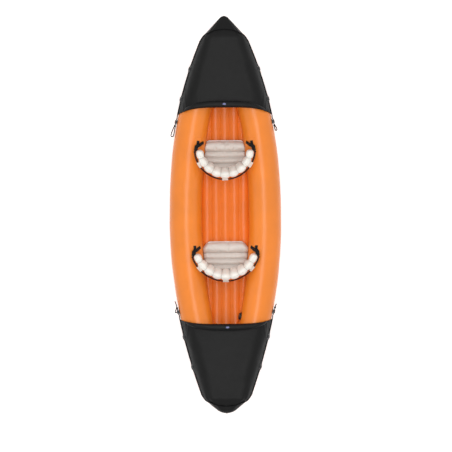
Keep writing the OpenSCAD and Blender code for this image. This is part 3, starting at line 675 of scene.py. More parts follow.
def woven(tree, base, pitch, depth, roughness, sheen, shine):
    """Plain weave on the piece's own UV map: crossing threads, a little sheen. The pitch and the
    threads' depth are in mm, and coarser than the real ones where those would not show."""
    flat = add(tree, "ShaderNodeUVMap", uv_map="flat").outputs["UV"]
    warp = add(tree, "ShaderNodeTexWave", {"Vector": flat, "Scale": bands(pitch)}, bands_direction="X")
    weft = add(tree, "ShaderNodeTexWave", {"Vector": flat, "Scale": bands(pitch)}, bands_direction="Y")
    cross = add(tree, "ShaderNodeMath", {0: warp.outputs["Fac"], 1: weft.outputs["Fac"]},
                operation="MAXIMUM")
    at = add(tree, "ShaderNodeTexCoord").outputs["Object"]
    tone = add(tree, "ShaderNodeMix", {0: cross.outputs[0], 6: darker(base, 0.7),
                                       7: shades(tree, at, base, 0.72, 50)}, data_type="RGBA")
    crumple = add(tree, "ShaderNodeTexNoise", {"Vector": at, "Scale": per(30), "Detail": 3.0})
    soft = add(tree, "ShaderNodeBump", {"Height": crumple.outputs["Fac"], "Strength": 0.3,
                                        "Distance": 2 * MM})
    bump = add(tree, "ShaderNodeBump", {"Height": cross.outputs[0], "Strength": 0.6, "Distance": depth * MM,
                                        "Normal": soft.outputs["Normal"]})
    return {"Base Color": tone.outputs[2], "Roughness": roughness, "Specular IOR Level": shine,
            "Sheen Weight": sheen, "Sheen Roughness": 0.4, "Normal": bump.outputs["Normal"]}


def braided_rope(tree, base):
    """Braided polypropylene: strands 2.1 mm apart cross at a slant, dull with a slight sheen."""
    flat = add(tree, "ShaderNodeUVMap", uv_map="flat").outputs["UV"]
    strands = []
    for turn in (0.7, -0.7):
        slant = add(tree, "ShaderNodeMapping", {"Vector": flat, "Rotation": (0, 0, turn)})
        strands.append(add(tree, "ShaderNodeTexWave", {"Vector": slant.outputs[0], "Scale": bands(2.1)}))
    cross = add(tree, "ShaderNodeMath", {0: strands[0].outputs["Fac"], 1: strands[1].outputs["Fac"]},
                operation="MAXIMUM")
    tone = add(tree, "ShaderNodeMix", {0: cross.outputs[0], 6: darker(base, 0.4), 7: base},
               data_type="RGBA")
    bump = add(tree, "ShaderNodeBump", {"Height": cross.outputs[0], "Strength": 0.8, "Distance": 0.6 * MM})
    return {"Base Color": tone.outputs[2], "Roughness": 0.7, "Specular IOR Level": 0.1,
            "Normal": bump.outputs["Normal"]}


def moulded(tree, base, roughness, ior=PVC_IOR, transmission=0.0):
    """Injection-moulded plastic: even colour, fine spark-eroded grain of 0.7 mm, slightly rubbed."""
    at = add(tree, "ShaderNodeTexCoord").outputs["Object"]
    grain = add(tree, "ShaderNodeTexNoise", {"Vector": at, "Scale": per(0.7), "Detail": 2.0})
    bump = add(tree, "ShaderNodeBump", {"Height": grain.outputs["Fac"], "Strength": 0.25,
                                        "Distance": 0.1 * MM})
    return {"Base Color": shades(tree, at, base, 0.85, 20), "Roughness": roughness, "IOR": ior,
            "Transmission Weight": transmission, "Normal": bump.outputs["Normal"]}


def tube_pvc():
    """The tubes' thick film: satin, so that a broad soft highlight runs along each crest."""
    return made("calendered_orange_pvc", calendered_pvc, colour("tube"), roughness=0.33, shine=0.42)


def floor_pvc():
    """The floor's redder film: smoother, with a narrow and weaker highlight on each rib."""
    return made("calendered_floor_pvc", calendered_pvc, colour("floor"), roughness=0.19, shine=0.2)


def cover_cloth():
    """Polyester with a thin coat: dull black, its threads only just to be seen."""
    return made("coated_polyester", woven, colour("cover"), pitch=1.6, depth=0.3, roughness=0.45,
                sheen=0.0, shine=0.18)


def webbing():
    """Thick polypropylene yarn: coarse crossing ribs, dull with a slight sheen."""
    return made("woven_polypropylene_webbing", woven, colour("webbing"), pitch=2.4, depth=0.6,
                roughness=0.6, sheen=0.03, shine=0.2)


def cushion_film():
    return made("cushion_pvc_film", film_pvc, colour("cushion"))


def backrest_film():
    return made("backrest_pvc_film", film_pvc, colour("backrest"))


def rope_fibre():
    return made("braided_polypropylene_rope", braided_rope, colour("webbing"))


# Hull


def valve_frame(side):
    """Centre under the flange and outward direction of a tube's valve."""
    y = VALVE_Y[side]
    n = outward(side, y, VALVE_A)
    return skin(side, y, VALVE_A) - VALVE_SINK * n, n


def chamber_points(side, pucker):
    """A side tube's skin: slack ripples, puckers at the floor's weld, a weld band and a valve's seat."""
    y = np.linspace(-TIP_Y, TIP_Y, 270)[:, None]
    a = np.linspace(-180, 180, 176, endpoint=False)[None]
    arc = np.radians(a) * tube_r(y)
    off = 0.9 * ripple(y, arc, 330, 11 + side) + 0.35 * ripple(y, arc, 90, 21 + side)
    weld = np.exp(-((a - FLOOR_WELD_A) / FLOOR_WELD_SPREAD) ** 2)
    off = off - pucker * weld * (1 + waves(y, 60, 5 + side))
    start, end = BAND_A
    band = smoothstep(start, start + BAND_EDGE, a) * (1 - smoothstep(end - BAND_EDGE, end, a))
    points = skin(side, y, a, off + BAND_T * band)
    centre, n_valve = valve_frame(side)
    gap = points - centre
    height = gap @ n_valve
    across = np.linalg.norm(gap - height[..., None] * n_valve, axis=-1)
    flat = (1 - smoothstep(VALVE_R + 3, VALVE_R + VALVE_SOFT, across)) * (np.abs(height) < VALVE_DEPTH)
    return points + (flat * (-TUBE_UNDER_VALVE - height))[..., None] * n_valve


class KAYAK_OT_chambers(bpy.types.Operator):
    """Side tubes with weld bands, puckers and a flat seat round each valve."""
    bl_idname = "kayak.chambers"
    bl_label = "Side tubes"

    def execute(self, context):
        pucker = context.scene.kayak_sizes.pucker / MM
        for side, name in ((1, "right"), (-1, "left")):
            grid = chamber_points(side, pucker)
            m, n = grid.shape[:2]
            ends = [grid[0].mean(0), grid[-1].mean(0)]
            fans = [(m * n, i, (i + 1) % n) for i in range(n)]
            fans += [(m * n + 1, (m - 1) * n + (i + 1) % n, (m - 1) * n + i) for i in range(n)]
            points, faces = np.vstack([grid.reshape(-1, 3), ends]), [*grid_faces(m, n, wrap=True), *fans]
            piece(f"{name}_tube", points, faces, tube_pvc(), "hull", [f"{name}_chamber"])
        return {"FINISHED"}


def floor_half(y):
    """Half the floor's width, out to where its weld meets the tubes."""
    r = tube_r(y)
    drop = r - SEAM_Z - WELD_GAP - SHEET_T
    return np.maximum(FLOOR_MIN, tube_x(y) - np.sqrt(r * r - drop * drop) - FLOOR_GAP)


def rib(x):
    """Share of the floor's height over its lengthwise ribs: 1 on a crest, less at a weld."""
    s = RIB_SHARE * 2 * np.abs(x / RIB_PITCH - np.round(x / RIB_PITCH))
    waist = 1 - RIB_WAIST * (1 - np.sqrt(1 - s * s)) / (1 - math.sqrt(1 - RIB_SHARE ** 2))
    return np.where(np.abs(x) > OUTER_RIB, 1 - RIB_WAIST, waist)


def floor_fill(x, y):
    """Share of the floor's height, rounded off to its sides and ends."""
    e = np.maximum(0, 1 - (floor_half(y) - np.abs(x)) / FLOOR_SIDE_ROUND)
    f = np.maximum(0, 1 - (FLOOR_END - np.abs(y)) / FLOOR_END_ROUND)
    return rib(x) * np.sqrt(np.maximum(0, 1 - e * e)) * np.sqrt(np.maximum(0, 1 - f * f))


def floor_top(x, y):
    low = keel_z(y) + SEAM_Z + WELD_GAP + SHEET_T
    u, r = tube_x(y) - np.abs(x), tube_r(y)
    under = np.where(u < r, tube_z(y) - np.sqrt(np.maximum(0, r * r - u * u)) - UNDER_TUBE, np.inf)
    high = low + (FLOOR_T - SEAM_Z - SHEET_T - WELD_GAP) * floor_fill(x, y)
    return np.maximum(low, np.minimum(high, under))


def floor_bottom(x, y):
    return keel_z(y) + (SEAM_Z - WELD_GAP - SHEET_T) * (1 - floor_fill(x, y))


def floor_puckers(x, y, pucker):
    """Cross creases that fade out from each lengthwise weld, over slow ripples."""
    weld = np.floor(x / RIB_PITCH)
    off_weld = np.abs(np.abs(x / RIB_PITCH - weld) - 0.5) * RIB_PITCH
    near = np.exp(-(off_weld / PUCKER_W) ** 2)
    return pucker * near * (0.25 + 0.75 * waves(y + 37 * weld, 46, 8)) + 0.5 * ripple(x, y, 160, 4)


def floor_valve_z():
    return float(floor_top(0, FLOOR_VALVE_Y + CAP_HINGE_R + 4)) + SHEET_T


class KAYAK_OT_floor(bpy.types.Operator):
    """I-beam floor: ribbed upper and lower sheets, puckered along the welds."""
    bl_idname = "kayak.floor"
    bl_label = "Floor"

    def execute(self, context):
        pucker = context.scene.kayak_sizes.pucker / MM
        y = np.linspace(-FLOOR_END, FLOOR_END, 300)[:, None]
        x = np.linspace(-1, 1, 161)[None] * floor_half(y)
        y = np.broadcast_to(y, x.shape)
        z = floor_top(x, y) - floor_puckers(x, y, pucker) * (floor_fill(x, y) > PUCKER_FROM)
        near = np.hypot(x, y - FLOOR_VALVE_Y)
        flat = 1 - smoothstep(VALVE_R + 4, VALVE_R + VALVE_SOFT + 4, near)
        z = z + flat * (floor_valve_z() - FLOOR_UNDER_VALVE - z)
        points, faces = thick_sheet(np.stack([x, y, z], -1)[:, ::-1], SHEET_T)
        piece("floor_top", points, faces, floor_pvc(), "hull", ["floor_top_sheet"])
        y, x = y[::2, ::2], x[::2, ::2]
        z = np.maximum(floor_bottom(x, y) + 0.4 * floor_puckers(x, y, pucker), GROUND_GAP)
        points, faces = thick_sheet(np.stack([x, y, z], -1), -SHEET_T)
        piece("floor_bottom", points, faces, floor_pvc(), "hull", ["floor_bottom_sheet"])
        return {"FINISHED"}


# Covers and rolls


def cover_grid(s, hem, fold):
    """The cover's outer face: rows from the hem to the nose, columns from side edge to side edge."""
    side = np.linspace(1, COVER_K, 57)
    k = np.r_[-side[::-1], np.linspace(-1, 1, 71)[1:-1], side][None]
    closing = CLOSE_AT + (1 - CLOSE_AT) * np.sin(np.linspace(0, math.pi / 2, 26)[1:])
    run = np.r_[np.linspace(0, CLOSE_AT, 112), closing][:, None]
    ahead = (TIP_Y - hem) * run
    a, y = COLUMN_A * (np.abs(k) - 1), s * (hem + ahead)
    on_flank = tube_x(y) + tube_r(y) * np.sin(np.radians(np.clip(a, 0, 90)))
    x = np.where(a >= 0, on_flank, tube_x(y) * np.abs(k))
    y = y - s * ARCH[s] * np.maximum(0, 1 - ahead / ARCH_REACH) ** 2 * (x / half_w(y)) ** 4
    off = COVER_GAP + COVER_T + cover_folds(s, k, ahead, TIP_Y - hem, fold)
    on_tube = skin(np.where(k >= 0, 1.0, -1.0), y, a, off)
    crown = DECK_CROWN * (1 - run) * (1 - k * k)
    across = np.stack([tube_x(y) * k, y, tube_top(y) + off + crown], -1)
    grid = np.where((a >= 0)[..., None], on_tube, across)
    tip = np.array([0, s * TIP_Y, float(tube_z(s * TIP_Y))])
    rows = [grid]
    for shrink, forward in TIP_RINGS:
        ring = tip + (grid[-1] - tip) * shrink
        ring[:, 1] = s * (TIP_Y + forward)
        rows.append(ring[None])
    return np.concatenate(rows)


def cover_folds(s, k, ahead, length, fold):
    """How far the cloth stands off its taut form: a hem, side seams, folds from the roll, nose gathers."""
    short = length - ahead
    fade = smoothstep(*FOLDS_END, short)
    total = 0.22 * fold * ripple(k * 60, ahead, 130, 31 + int(s)) * fade
    for mirror in (-1, 1):
        for k0, slope, width, height, reach in FOLDS:
            gap = (mirror * k - (k0 + slope * ahead)) * COLUMN_W
            total = total + fold * height * np.exp(-(gap / width) ** 2) * np.exp(-(ahead / reach) ** 2)
    gather = (1 - smoothstep(*GATHERS_START, short)) * fade
    total = total + 0.4 * fold * gather * np.cos(k * 3.3 + 0.9 * np.sin(2.1 * k))
    under_rope = np.exp(-((np.abs(k) - 1 - ROPE_A / COLUMN_A) / 0.55) ** 2)
    seam = SEAM_T * np.exp(-((np.abs(k) - SEAM_K) * COLUMN_W / 3) ** 2) * fade
    hem = HEM_T * (1 - smoothstep(HEM_W - 3, HEM_W, ahead))
    return total * (1 - 0.8 * under_rope) + seam + hem


def flat_uv(grid):
    """A UV map in mm from the distances along a grid's rows and columns."""
    down = np.r_[0, np.cumsum(np.linalg.norm(np.diff(grid, axis=0), axis=-1).mean(1))]
    across = np.linalg.norm(np.diff(grid, axis=1), axis=-1)
    across = np.concatenate([np.zeros((len(grid), 1)), np.cumsum(across, 1)], 1)
    across = across - across[:, -1:] / 2
    return flat_map(across, down[:, None])


class KAYAK_OT_covers(bpy.types.Operator):
    """Bow and stern covers: one coated sheet each, hemmed, folded at the roll and gathered at the nose."""
    bl_idname = "kayak.covers"
    bl_label = "Covers"

    def execute(self, context):
        fold = context.scene.kayak_sizes.fold / MM
        for s, name, hem in ENDS:
            grid = cover_grid(s, hem, fold)
            if s > 0:
                grid = grid[:, ::-1]
            points, faces = thick_sheet(grid, COVER_T)
            uv = flat_uv(grid)
            obj = piece(f"{name}_cover_cloth", points, faces, cover_cloth(), "hull",
                        [f"{name}_cover"], uv=np.vstack([uv, uv]))
        return {"FINISHED"}


def roll_r(u):
    """A splash roll's radius along its length, -1 to 1."""
    return ROLL_END_R + (ROLL_D / 2 - ROLL_END_R) * np.sqrt(np.maximum(0, 1 - u * u))


def roll_axis(s, hem, u):
    """A splash roll's middle line, on the cover along its hem."""
    x = u * ROLL_SHARE * half_w(s * (hem - ARCH[s] / 2))
    y = s * (hem + roll_r(u) - ARCH[s] * (u * ROLL_SHARE) ** 4)
    c, r = tube_x(y), tube_r(y) + COVER_GAP + COVER_T
    out, q = np.maximum(0, np.abs(x) - c), np.maximum(0, 1 - np.abs(x) / c)
    z = tube_z(y) + np.sqrt(r * r - out * out) + roll_r(u) + 1 + DECK_CROWN * q + 0.06 * out
    return np.stack([x, y, z], -1)


class KAYAK_OT_splash_rolls(bpy.types.Operator):
    """Spindle-shaped splash rolls, puckered towards their ends."""
    bl_idname = "kayak.splash_rolls"
    bl_label = "Splash rolls"

    def execute(self, context):
        for s, name, hem in ENDS:
            u = np.linspace(-1, 1, 190)[:, None]
            q = np.linspace(0, 2 * math.pi, 44, endpoint=False)[None]
            slack = 0.3 + 1.6 * np.abs(u) ** 1.5
            puckers = slack * np.cos(9 * q + 3 * waves(u * 300, 150, 3)) * np.abs(waves(u * 300, 60, 6))
            r = roll_r(u) * 0.97 + puckers
            axis = roll_axis(s, hem, u)
            grid = axis + np.stack([0 * q, np.sin(q), np.cos(q)], -1) * r[..., None]
            uv = flat_map(q * ROLL_D / 2, np.linalg.norm(axis - axis[:1], axis=-1))
            obj = piece(f"{name}_roll", grid.reshape(-1, 3), tube_faces(*grid.shape[:2]), cover_cloth(),
                        "hull", [f"{name}_splash_roll"], uv=uv)
        return {"FINISHED"}


# Rope


def rope_off(y, s, tie, far):
    """Stand-off of the grab line: out at its eyelets, close to the tube and the cover between them."""
    hem = BOW_HEM if s > 0 else STERN_HEM
    edge = hem - ARCH[s]
    low = ROPE_ON_TUBE + ROPE_OVER_HEM * smoothstep(edge - 50, edge - 8, s * y)
    held = [tie - s * KNOT_GAP, tie + s * TIE_HALF, far - s * EYE_PITCH, far]
    near = max(math.exp(-(max(0.0, abs(y - h) - EYE_HALF) / EYE_SPREAD) ** 2) for h in held)
    return low + (ROPE_OFF - low) * near


def rope_path(tie, far, kink, s):
    """A grab line from its knot through the eyelets, over the nose and back down the other side."""
    root = tie - s * (KNOT_GAP - 3)
    ys = np.r_[np.linspace(root, far, 61), np.linspace(far, kink - s * 30, 16)[1:]]
    half = [stand_off(1, y, ROPE_A, rope_off(y, s, tie, far)) for y in ys]
    half += [stand_off(1, kink + s * d, a, ROPE_ON_NOSE) for d, a in ROPE_NOSE]
    y = kink + s * ROPE_NOSE_END
    on_cover = float(tube_top(y)) + COVER_GAP + COVER_T + ROPE_D / 2 + 1.5
    half = np.array(half + [np.array([float(tube_x(y)) * 0.3, y, on_cover])])
    return even(curve_through(np.vstack([half, half[::-1] * [-1, 1, 1]]), 4), 2.2)


def tube_frame(side, y):
    """Origin and axes at a rope knot: along the tube to the bow, across it and outward."""
    t, n = along(side, y, ROPE_A), outward(side, y, ROPE_A)
    return stand_off(side, y, ROPE_A, ROPE_OFF), t, np.cross(n, t), n


def loop_path(side, y, length, width, droop):
    """A loose loop that points to the stern from its knot and hangs down by droop degrees."""
    o, t, b, n = tube_frame(side, y)
    turn = math.radians(180 + side * droop)
    lead = math.cos(turn) * t + math.sin(turn) * b
    r, x1 = width / 2 - ROPE_D / 2, 5 + length - width / 2
    q = np.linspace(0, 1, 24)[:-1]
    x, rise = 4 + (x1 - 4) * q, np.sin(q * math.pi / 2)
    bend = np.linspace(math.pi / 2, -math.pi / 2, 15)
    route = np.vstack([np.c_[x, 4.5 + (r + 0.5) * rise], np.c_[x1 + r * np.cos(bend), 5 + r * np.sin(bend)],
                       np.c_[x, -3.5 + (8.5 - r) * rise][::-1]])
    return even(np.array([o + lead * x + n * z for x, z in route]), 1.6)


def tail_path(side, y, length):
    """A loose end that points to the bow from its knot and stands off the tube."""
    o, t, _, n = tube_frame(side, y)
    route = [(5, 0), (5 + length * 0.35, 1.5), (5 + length * 0.7, 4), (5 + length, 7.5)]
    return even(curve_through([o + t * x + n * z for x, z in route], 8), 1.6)


def knot_path(side, y):
    """An overhand knot drawn up tight."""
    o, t, b, n = tube_frame(side, y)
    q = np.linspace(0, 2 * math.pi, 90, endpoint=False)[:, None]
    a, c, d = np.sin(q) + 2 * np.sin(2 * q), np.cos(q) - 2 * np.cos(2 * q), -np.sin(3 * q)
    return o + 1.95 * (a * t + c * n) + 3.1 * d * b


class KAYAK_OT_grab_lines(bpy.types.Operator):
    """Braided grab lines over each nose, with knots, loops and tails at their ends."""
    bl_idname = "kayak.grab_lines"
    bl_label = "Grab lines"

    def execute(self, context):
        lines = (("bow", BOW_TIE_Y, BOW_EYE_Y + EYE_PITCH, BOW_KINK, 1),
                 ("stern", STERN_TIE_Y, STERN_EYE_Y - EYE_PITCH, STERN_KINK, -1))
        for name, tie, far, kink, s in lines:
            self.rope(f"{name}_rope", rope_path(tie, far, kink, s), f"{name}_grab_line")
        for name, side, y, loop_l, loop_w, droop, tail in LINE_ENDS:
            self.rope(f"{name}_knot", knot_path(side, y), ring=True)
            if loop_l:
                self.cord(f"{name}_loop", loop_path(side, y, loop_l, loop_w, droop), "object")
            if tail > STUB_MAX:
                self.cord(f"{name}_tail", tail_path(side, y, tail), "bare")
            elif tail:
                self.rope(f"{name}_stub", tail_path(side, y, tail))
        return {"FINISHED"}

    @staticmethod
    def rope(name, path, node="line_ends", ring=False):
        points, faces, uv = rope_tube(path, ring)
        return piece(name, points, faces, rope_fibre(), "hull", [node], uv=uv)

    def cord(self, name, path, far_end):
        obj = self.rope(name, path)


# Seats


def keep_off_tubes(p, margin, hinge=None):
    """Moves points that lie inside a side tube out of it, at rest and, with a hinge, leant back too."""
    for lean in (0,) if hinge is None else (BACK_MAX, 0):
        if lean:
            p = turn_about(p, hinge, lean)
        side = np.where(p[:, 0] >= 0, 1.0, -1.0)
        cx, cz, r = tube_x(p[:, 1]), tube_z(p[:, 1]), tube_r(p[:, 1]) + margin
        dx, dz = p[:, 0] * side - cx, p[:, 2] - cz
        d = np.maximum(np.hypot(dx, dz), 1e-6)
        push = np.where(d < r, r / d, 1)
        p = np.stack([side * (cx + dx * push), p[:, 1], cz + dz * push], -1)
        if lean:
            p = turn_about(p, hinge, -lean)
    return p


def tilt(y, z, degrees, at=(0, 0)):
    """Places turned about a line across the boat and moved to a hinge; positive leans back."""
    c, s = math.cos(math.radians(degrees)), math.sin(math.radians(degrees))
    return at[0] + y * c - z * s, at[1] + y * s + z * c


def turn_about(p, hinge, degrees):
    """Turns points about the seat's hinge line; positive leans back."""
    y, z = tilt(p[:, 1] - hinge[0], p[:, 2] - hinge[1], degrees, hinge)
    return np.stack([p[:, 0], y, z], -1)


def swell(obj, welds, cap, fit):
    """Remeshes a pad evenly, blows it up as cloth held at its welds, and caps how far a point moves."""
    sizes = bpy.context.scene.kayak_sizes
    remesh = obj.modifiers.new("even", "REMESH")
    remesh.mode = "VOXEL"
    remesh.voxel_size = sizes.voxel
    settle(obj)
    start = vertex_array(obj.data)
    group = obj.vertex_groups.new(name="weld")
    hold = np.clip(welds(start / MM), 0, 1)
    for i in np.nonzero(hold > 0.02)[0]:
        group.add([int(i)], float(hold[i]), "REPLACE")
    blow_up(obj, sizes.pressure)
    obj.vertex_groups.clear()
    moved = vertex_array(obj.data) - start
    reach = np.linalg.norm(moved, axis=1, keepdims=True)
    moved = moved * np.minimum(1, cap / np.maximum(reach, 1e-9))
    set_vertices(obj.data, fit((start + moved) / MM) * MM)
    finer = obj.modifiers.new("finer", "SUBSURF")
    finer.levels = finer.render_levels = 1
    settle(obj)
    obj.data.polygons.foreach_set("use_smooth", np.ones(len(obj.data.polygons), bool))


def blow_up(obj, pressure):
    """Runs cloth under air pressure, held where the weld group is heavy, and keeps its last shape."""
    cloth = obj.modifiers.new("air", "CLOTH")
    cloth.settings.quality = 4
    cloth.settings.mass = 0.25
    cloth.settings.use_pressure = True
    cloth.settings.uniform_pressure_force = pressure
    cloth.settings.shrink_min = -0.02
    cloth.settings.bending_stiffness = 0.25
    cloth.settings.vertex_group_mass = "weld"
    cloth.settings.effector_weights.gravity = 0
    cloth.collision_settings.use_collision = False
    cloth.point_cache.frame_start = 1
    cloth.point_cache.frame_end = CLOTH_FRAMES
    for number in range(1, CLOTH_FRAMES + 1):
        bpy.context.scene.frame_set(number)
    settle(obj)
    bpy.context.scene.frame_set(1)


def paint_crease_shade(obj, welds):
    """Notes on each point how near it is to a weld, for the painted shade in the film's creases."""
    near = np.clip(welds(vertex_array(obj.data) / MM), 0, 1) ** 2
    obj.data.attributes.new("weld", "FLOAT", "POINT").data.foreach_set("value", near.astype(np.float32))


def settle(obj):
    """Turns an object's modifiers into its plain mesh."""
    mesh = bpy.data.meshes.new_from_object(obj.evaluated_get(bpy.context.evaluated_depsgraph_get()))
    mesh.materials.clear()
    for material in obj.data.materials:
        mesh.materials.append(material)
    obj.modifiers.clear()
    obj.data = mesh


def vertex_array(mesh):
    co = np.zeros(len(mesh.vertices) * 3)
    mesh.vertices.foreach_get("co", co)
    return co.reshape(-1, 3)


def set_vertices(mesh, points):
    mesh.vertices.foreach_set("co", np.asarray(points, np.float64).ravel())
    mesh.update()


def seat_z():
    """Height of the cushions' base over the floor's ribs."""
    return float(keel_z(BOW_SEAT_Y + SEAT_LEN)) + FLOOR_T + 1


def hinge_z():
    return seat_z() + REAR_D / 2


def cushion_cells():
    """Centre and radius of each round cell, ahead of the hinge line."""
    back = PAD_FRONT - FRONT_D
    row = (back - REAR_D / 2) / 3
    rows = [(back - (i + 0.5) * row, ROW_D / 2) for i in range(3)]
    return [(PAD_FRONT - FRONT_D / 2, FRONT_D / 2)] + rows + [(0, REAR_D / 2)]


def cushion_top(y):
    """Height of the cells' upper outline above the floor, over the distance ahead of the hinge."""
    top = 0
    for c, r in cushion_cells():
        arc = r + np.sqrt(np.maximum(0, r * r - (y - c) ** 2))
        top = np.maximum(top, np.where(np.abs(y - c) < r, arc, 0))
    return top - VALLEY_DEPTH * sum(np.exp(-((y - e) / VALLEY_W) ** 2) for e in cushion_valleys())


def cushion_valleys():
    """Welds between the cells, ahead of the hinge."""
    cells = [c for c, _ in cushion_cells()]
    return [PAD_FRONT - FRONT_D] + [(a + b) / 2 for a, b in zip(cells[1:], cells[2:])]


def cushion_half(y, r):
    """Half the cushion's width: round behind, with cut corners in front."""
    rear = np.sqrt(np.maximum(0, (r + BACK_T / 2) ** 2 - np.maximum(0, PAD_Y + r - y) ** 2))
    front = SEAT_W / 2 - np.maximum(0, y - (SEAT_LEN - CORNER_CUT)) * CORNER_SLOPE
    return np.maximum(2, np.minimum(np.minimum(SEAT_W / 2, rear), front))


def cushion_mesh(yh, r):
    """A cushion before it is swollen: the cells' outline above, a nearly flat base below."""
    y = np.linspace(-REAR_D / 2 + 0.5, PAD_FRONT - 1, 150)[:, None]
    half = cushion_half(y, r)
    x = np.sin(np.linspace(-1, 1, 91)[None] * math.pi / 2) * half
    side = np.sqrt(np.maximum(0, 1 - np.maximum(0, 1 - (half - np.abs(x)) / PAD_ROUND) ** 2))
    top = cushion_top(y)
    ends = np.clip(np.minimum(1, np.minimum(y + REAR_D / 2, PAD_FRONT - y) / 3), 0, 1)
    mid = np.clip(top * 0.45, 15, 34)
    base = 1.5 + 3.5 * np.exp(-((top - 40) / 6) ** 2)
    low = mid + (base - mid) * side * ends
    up = mid + (top * 0.985 - mid) * side
    up = mid + (up - mid) * ends
    grids = [np.stack(np.broadcast_arrays(x, yh + y, seat_z() + h), -1) for h in (up, low)]
    points, faces = sandwich(*grids)
    return keep_off_tubes(points, 2), faces


def cushion_welds(yh):
    """Hold on the cloth near the valleys between the cushion's cells and near its base."""
    def hold(p):
        y, z = p[:, 1] - yh, p[:, 2] - seat_z()
        near = np.max([np.exp(-((y - e) / VALLEY_W) ** 2) for e in cushion_valleys()], axis=0)
        return np.maximum(near, np.clip((9 - z) / 6, 0, 1))
    return hold


def flange(yh):
    """A flat welded edge in front of a cushion, wavy and with rounded corners."""
    y0, y1 = PAD_FRONT - FLANGE_LAP, SEAT_LEN - 0.5
    y = np.linspace(y0, y1, 14)[:, None]
    out = (y - y0) / (y1 - y0)
    x = np.linspace(-1, 1, 61)[None] * (SEAT_W / 2 - PAD_ROUND - FLANGE_CORNER * out ** 2.4)
    wave = 0.9 * waves(x, 42, 9) * out
    grid = np.stack(np.broadcast_arrays(x, yh + y, seat_z() + FLANGE_Z + wave), -1)
    return thick_sheet(grid[:, ::-1], FLANGE_T)


class KAYAK_OT_cushions(bpy.types.Operator):
    """Inflatable cushions: a fat front roll, three rows and a rear roll, swollen between their welds."""
    bl_idname = "kayak.cushions"
    bl_label = "Seat cushions"

    def execute(self, context):
        cap = context.scene.kayak_sizes.swell
        for name, (yh, r) in SEATS.items():
            points, faces = cushion_mesh(yh, r)
            obj = piece(f"{name}_cushion_pad", points, faces, cushion_film(), "hull",
                        [f"{name}_cushion"], merge=0.2)

            def fit(p, yh=yh, r=r):
                p = keep_off_tubes(p, 1.5)
                p[:, 2] = np.maximum(p[:, 2], seat_z() - 0.5)
                return under_flap(behind_cut(p, yh, r), yh)
            swell(obj, cushion_welds(yh), cap, fit)
            # Painted shade: the film's colour darkens near the welds between the cells
            paint_crease_shade(obj, cushion_welds(yh))
            points, faces = flange(yh)
            piece(f"{name}_cushion_flange", points, faces, cushion_film(), "hull")
        return {"FINISHED"}


def behind_cut(p, yh, r):
    """Keeps a cushion's rear edge on the round that clears the backrest."""
    cy, most = yh + PAD_Y + r, r + BACK_T / 2
    d = np.maximum(np.hypot(p[:, 0], p[:, 1] - cy), 1e-6)
    pull = np.where((d > most) & (p[:, 1] < cy), most / d, 1)
    return np.stack([p[:, 0] * pull, cy + (p[:, 1] - cy) * pull, p[:, 2]], -1)


def under_flap(p, yh):
    """Keeps a cushion's rear roll inside the hinge flap, which turns round it as the backrest leans."""
    y, z = p[:, 1] - yh, p[:, 2] - hinge_z()
    d = np.maximum(np.hypot(y, z), 1e-6)
    most = REAR_D / 2 - 0.6 + 10 * smoothstep(FLAP_W / 2 + 4, FLAP_W / 2 + 26, np.abs(p[:, 0]))
    pull = np.where((d > most) & (y < 0.66 * z) & (z > -6), most / d, 1)
    return np.stack([p[:, 0], yh + y * pull, hinge_z() + z * pull], -1)


def lean_back(yh, p):
    """Points in the backrest's upright frame, put on the hinge line at its resting lean."""
    x, y, z = np.moveaxis(np.asarray(p, float), -1, 0)
    return np.stack([x, *tilt(y, z, BACK_LEAN, (yh, hinge_z()))], -1)


def cell_angle(r):
    """Degrees that one cell takes up round a backrest's bend."""
    return math.degrees(CELL_W / r)


def cell_of(s):
    """The cell that a place across a backrest lies in; cell centres are whole numbers."""
    return np.clip(np.round(s), -LAST_CELL, LAST_CELL)


def cell_edges(s):
    """Lower and upper ends of the backrest's air cells across its bend."""
    k = cell_of(s)
    u = np.abs(s - k) * 2
    return np.interp(np.abs(s), *CELL_FOOT) + 9 * u ** 2, BACK_H - 1.6 * k * k - 13 * u ** 2.4


def bent(yh, r, turn, d, z):
    """Points at a turn round a backrest's bend, a distance from its axis and a height, leant back."""
    x, y = d * np.sin(turn), PAD_Y + r - d * np.cos(turn)
    return lean_back(yh, np.stack(np.broadcast_arrays(x, y, z), -1))


def backrest_mesh(yh, r):
    """A backrest before it is swollen: the rear and front of its cells, with a belly in front."""
    s = np.linspace(-HALF_CELLS + 0.03, HALF_CELLS - 0.03, 217)[None]
    w = (1 - np.cos(np.linspace(0, math.pi, 64)[:, None])) / 2
    low, high = cell_edges(s)
    z = low + (high - low) * w
    bulge = np.sqrt(np.maximum(0, 1 - np.minimum(1, np.abs(s - cell_of(s)) * 2) ** 2))
    across = CELL_WAIST + (1 - CELL_WAIST) * bulge
    rim = np.minimum(1, (HALF_CELLS - np.abs(s)) / 0.1)
    half = (BACK_T / 2 - 1.5) * across * np.interp(w, *CELL_SHAPE) * rim + 0.4
    # The outermost cells are drawn in a little
    turn = np.radians(s * cell_angle(r)) * np.where(np.abs(s) > 3.5, 0.975, 1)
    belly = BELLY * np.exp(-(s / 2.8) ** 4) * across * rim * np.sin(math.pi * w ** 0.85) ** 0.9
    points, faces = sandwich(bent(yh, r, turn, r + half, z), bent(yh, r, turn, r - half - belly, z))
    return keep_off_tubes(points, 2.5, (yh, hinge_z())), faces


def backrest_frame(p, yh, r):
    """Angle in cells, distance from the bend's axis and height of points on a backrest."""
    y, high = tilt(p[:, 1] - yh, p[:, 2] - hinge_z(), -BACK_LEAN)
    fore = y - PAD_Y - r
    return np.degrees(np.arctan2(p[:, 0], -fore)) / cell_angle(r), np.hypot(p[:, 0], fore), high


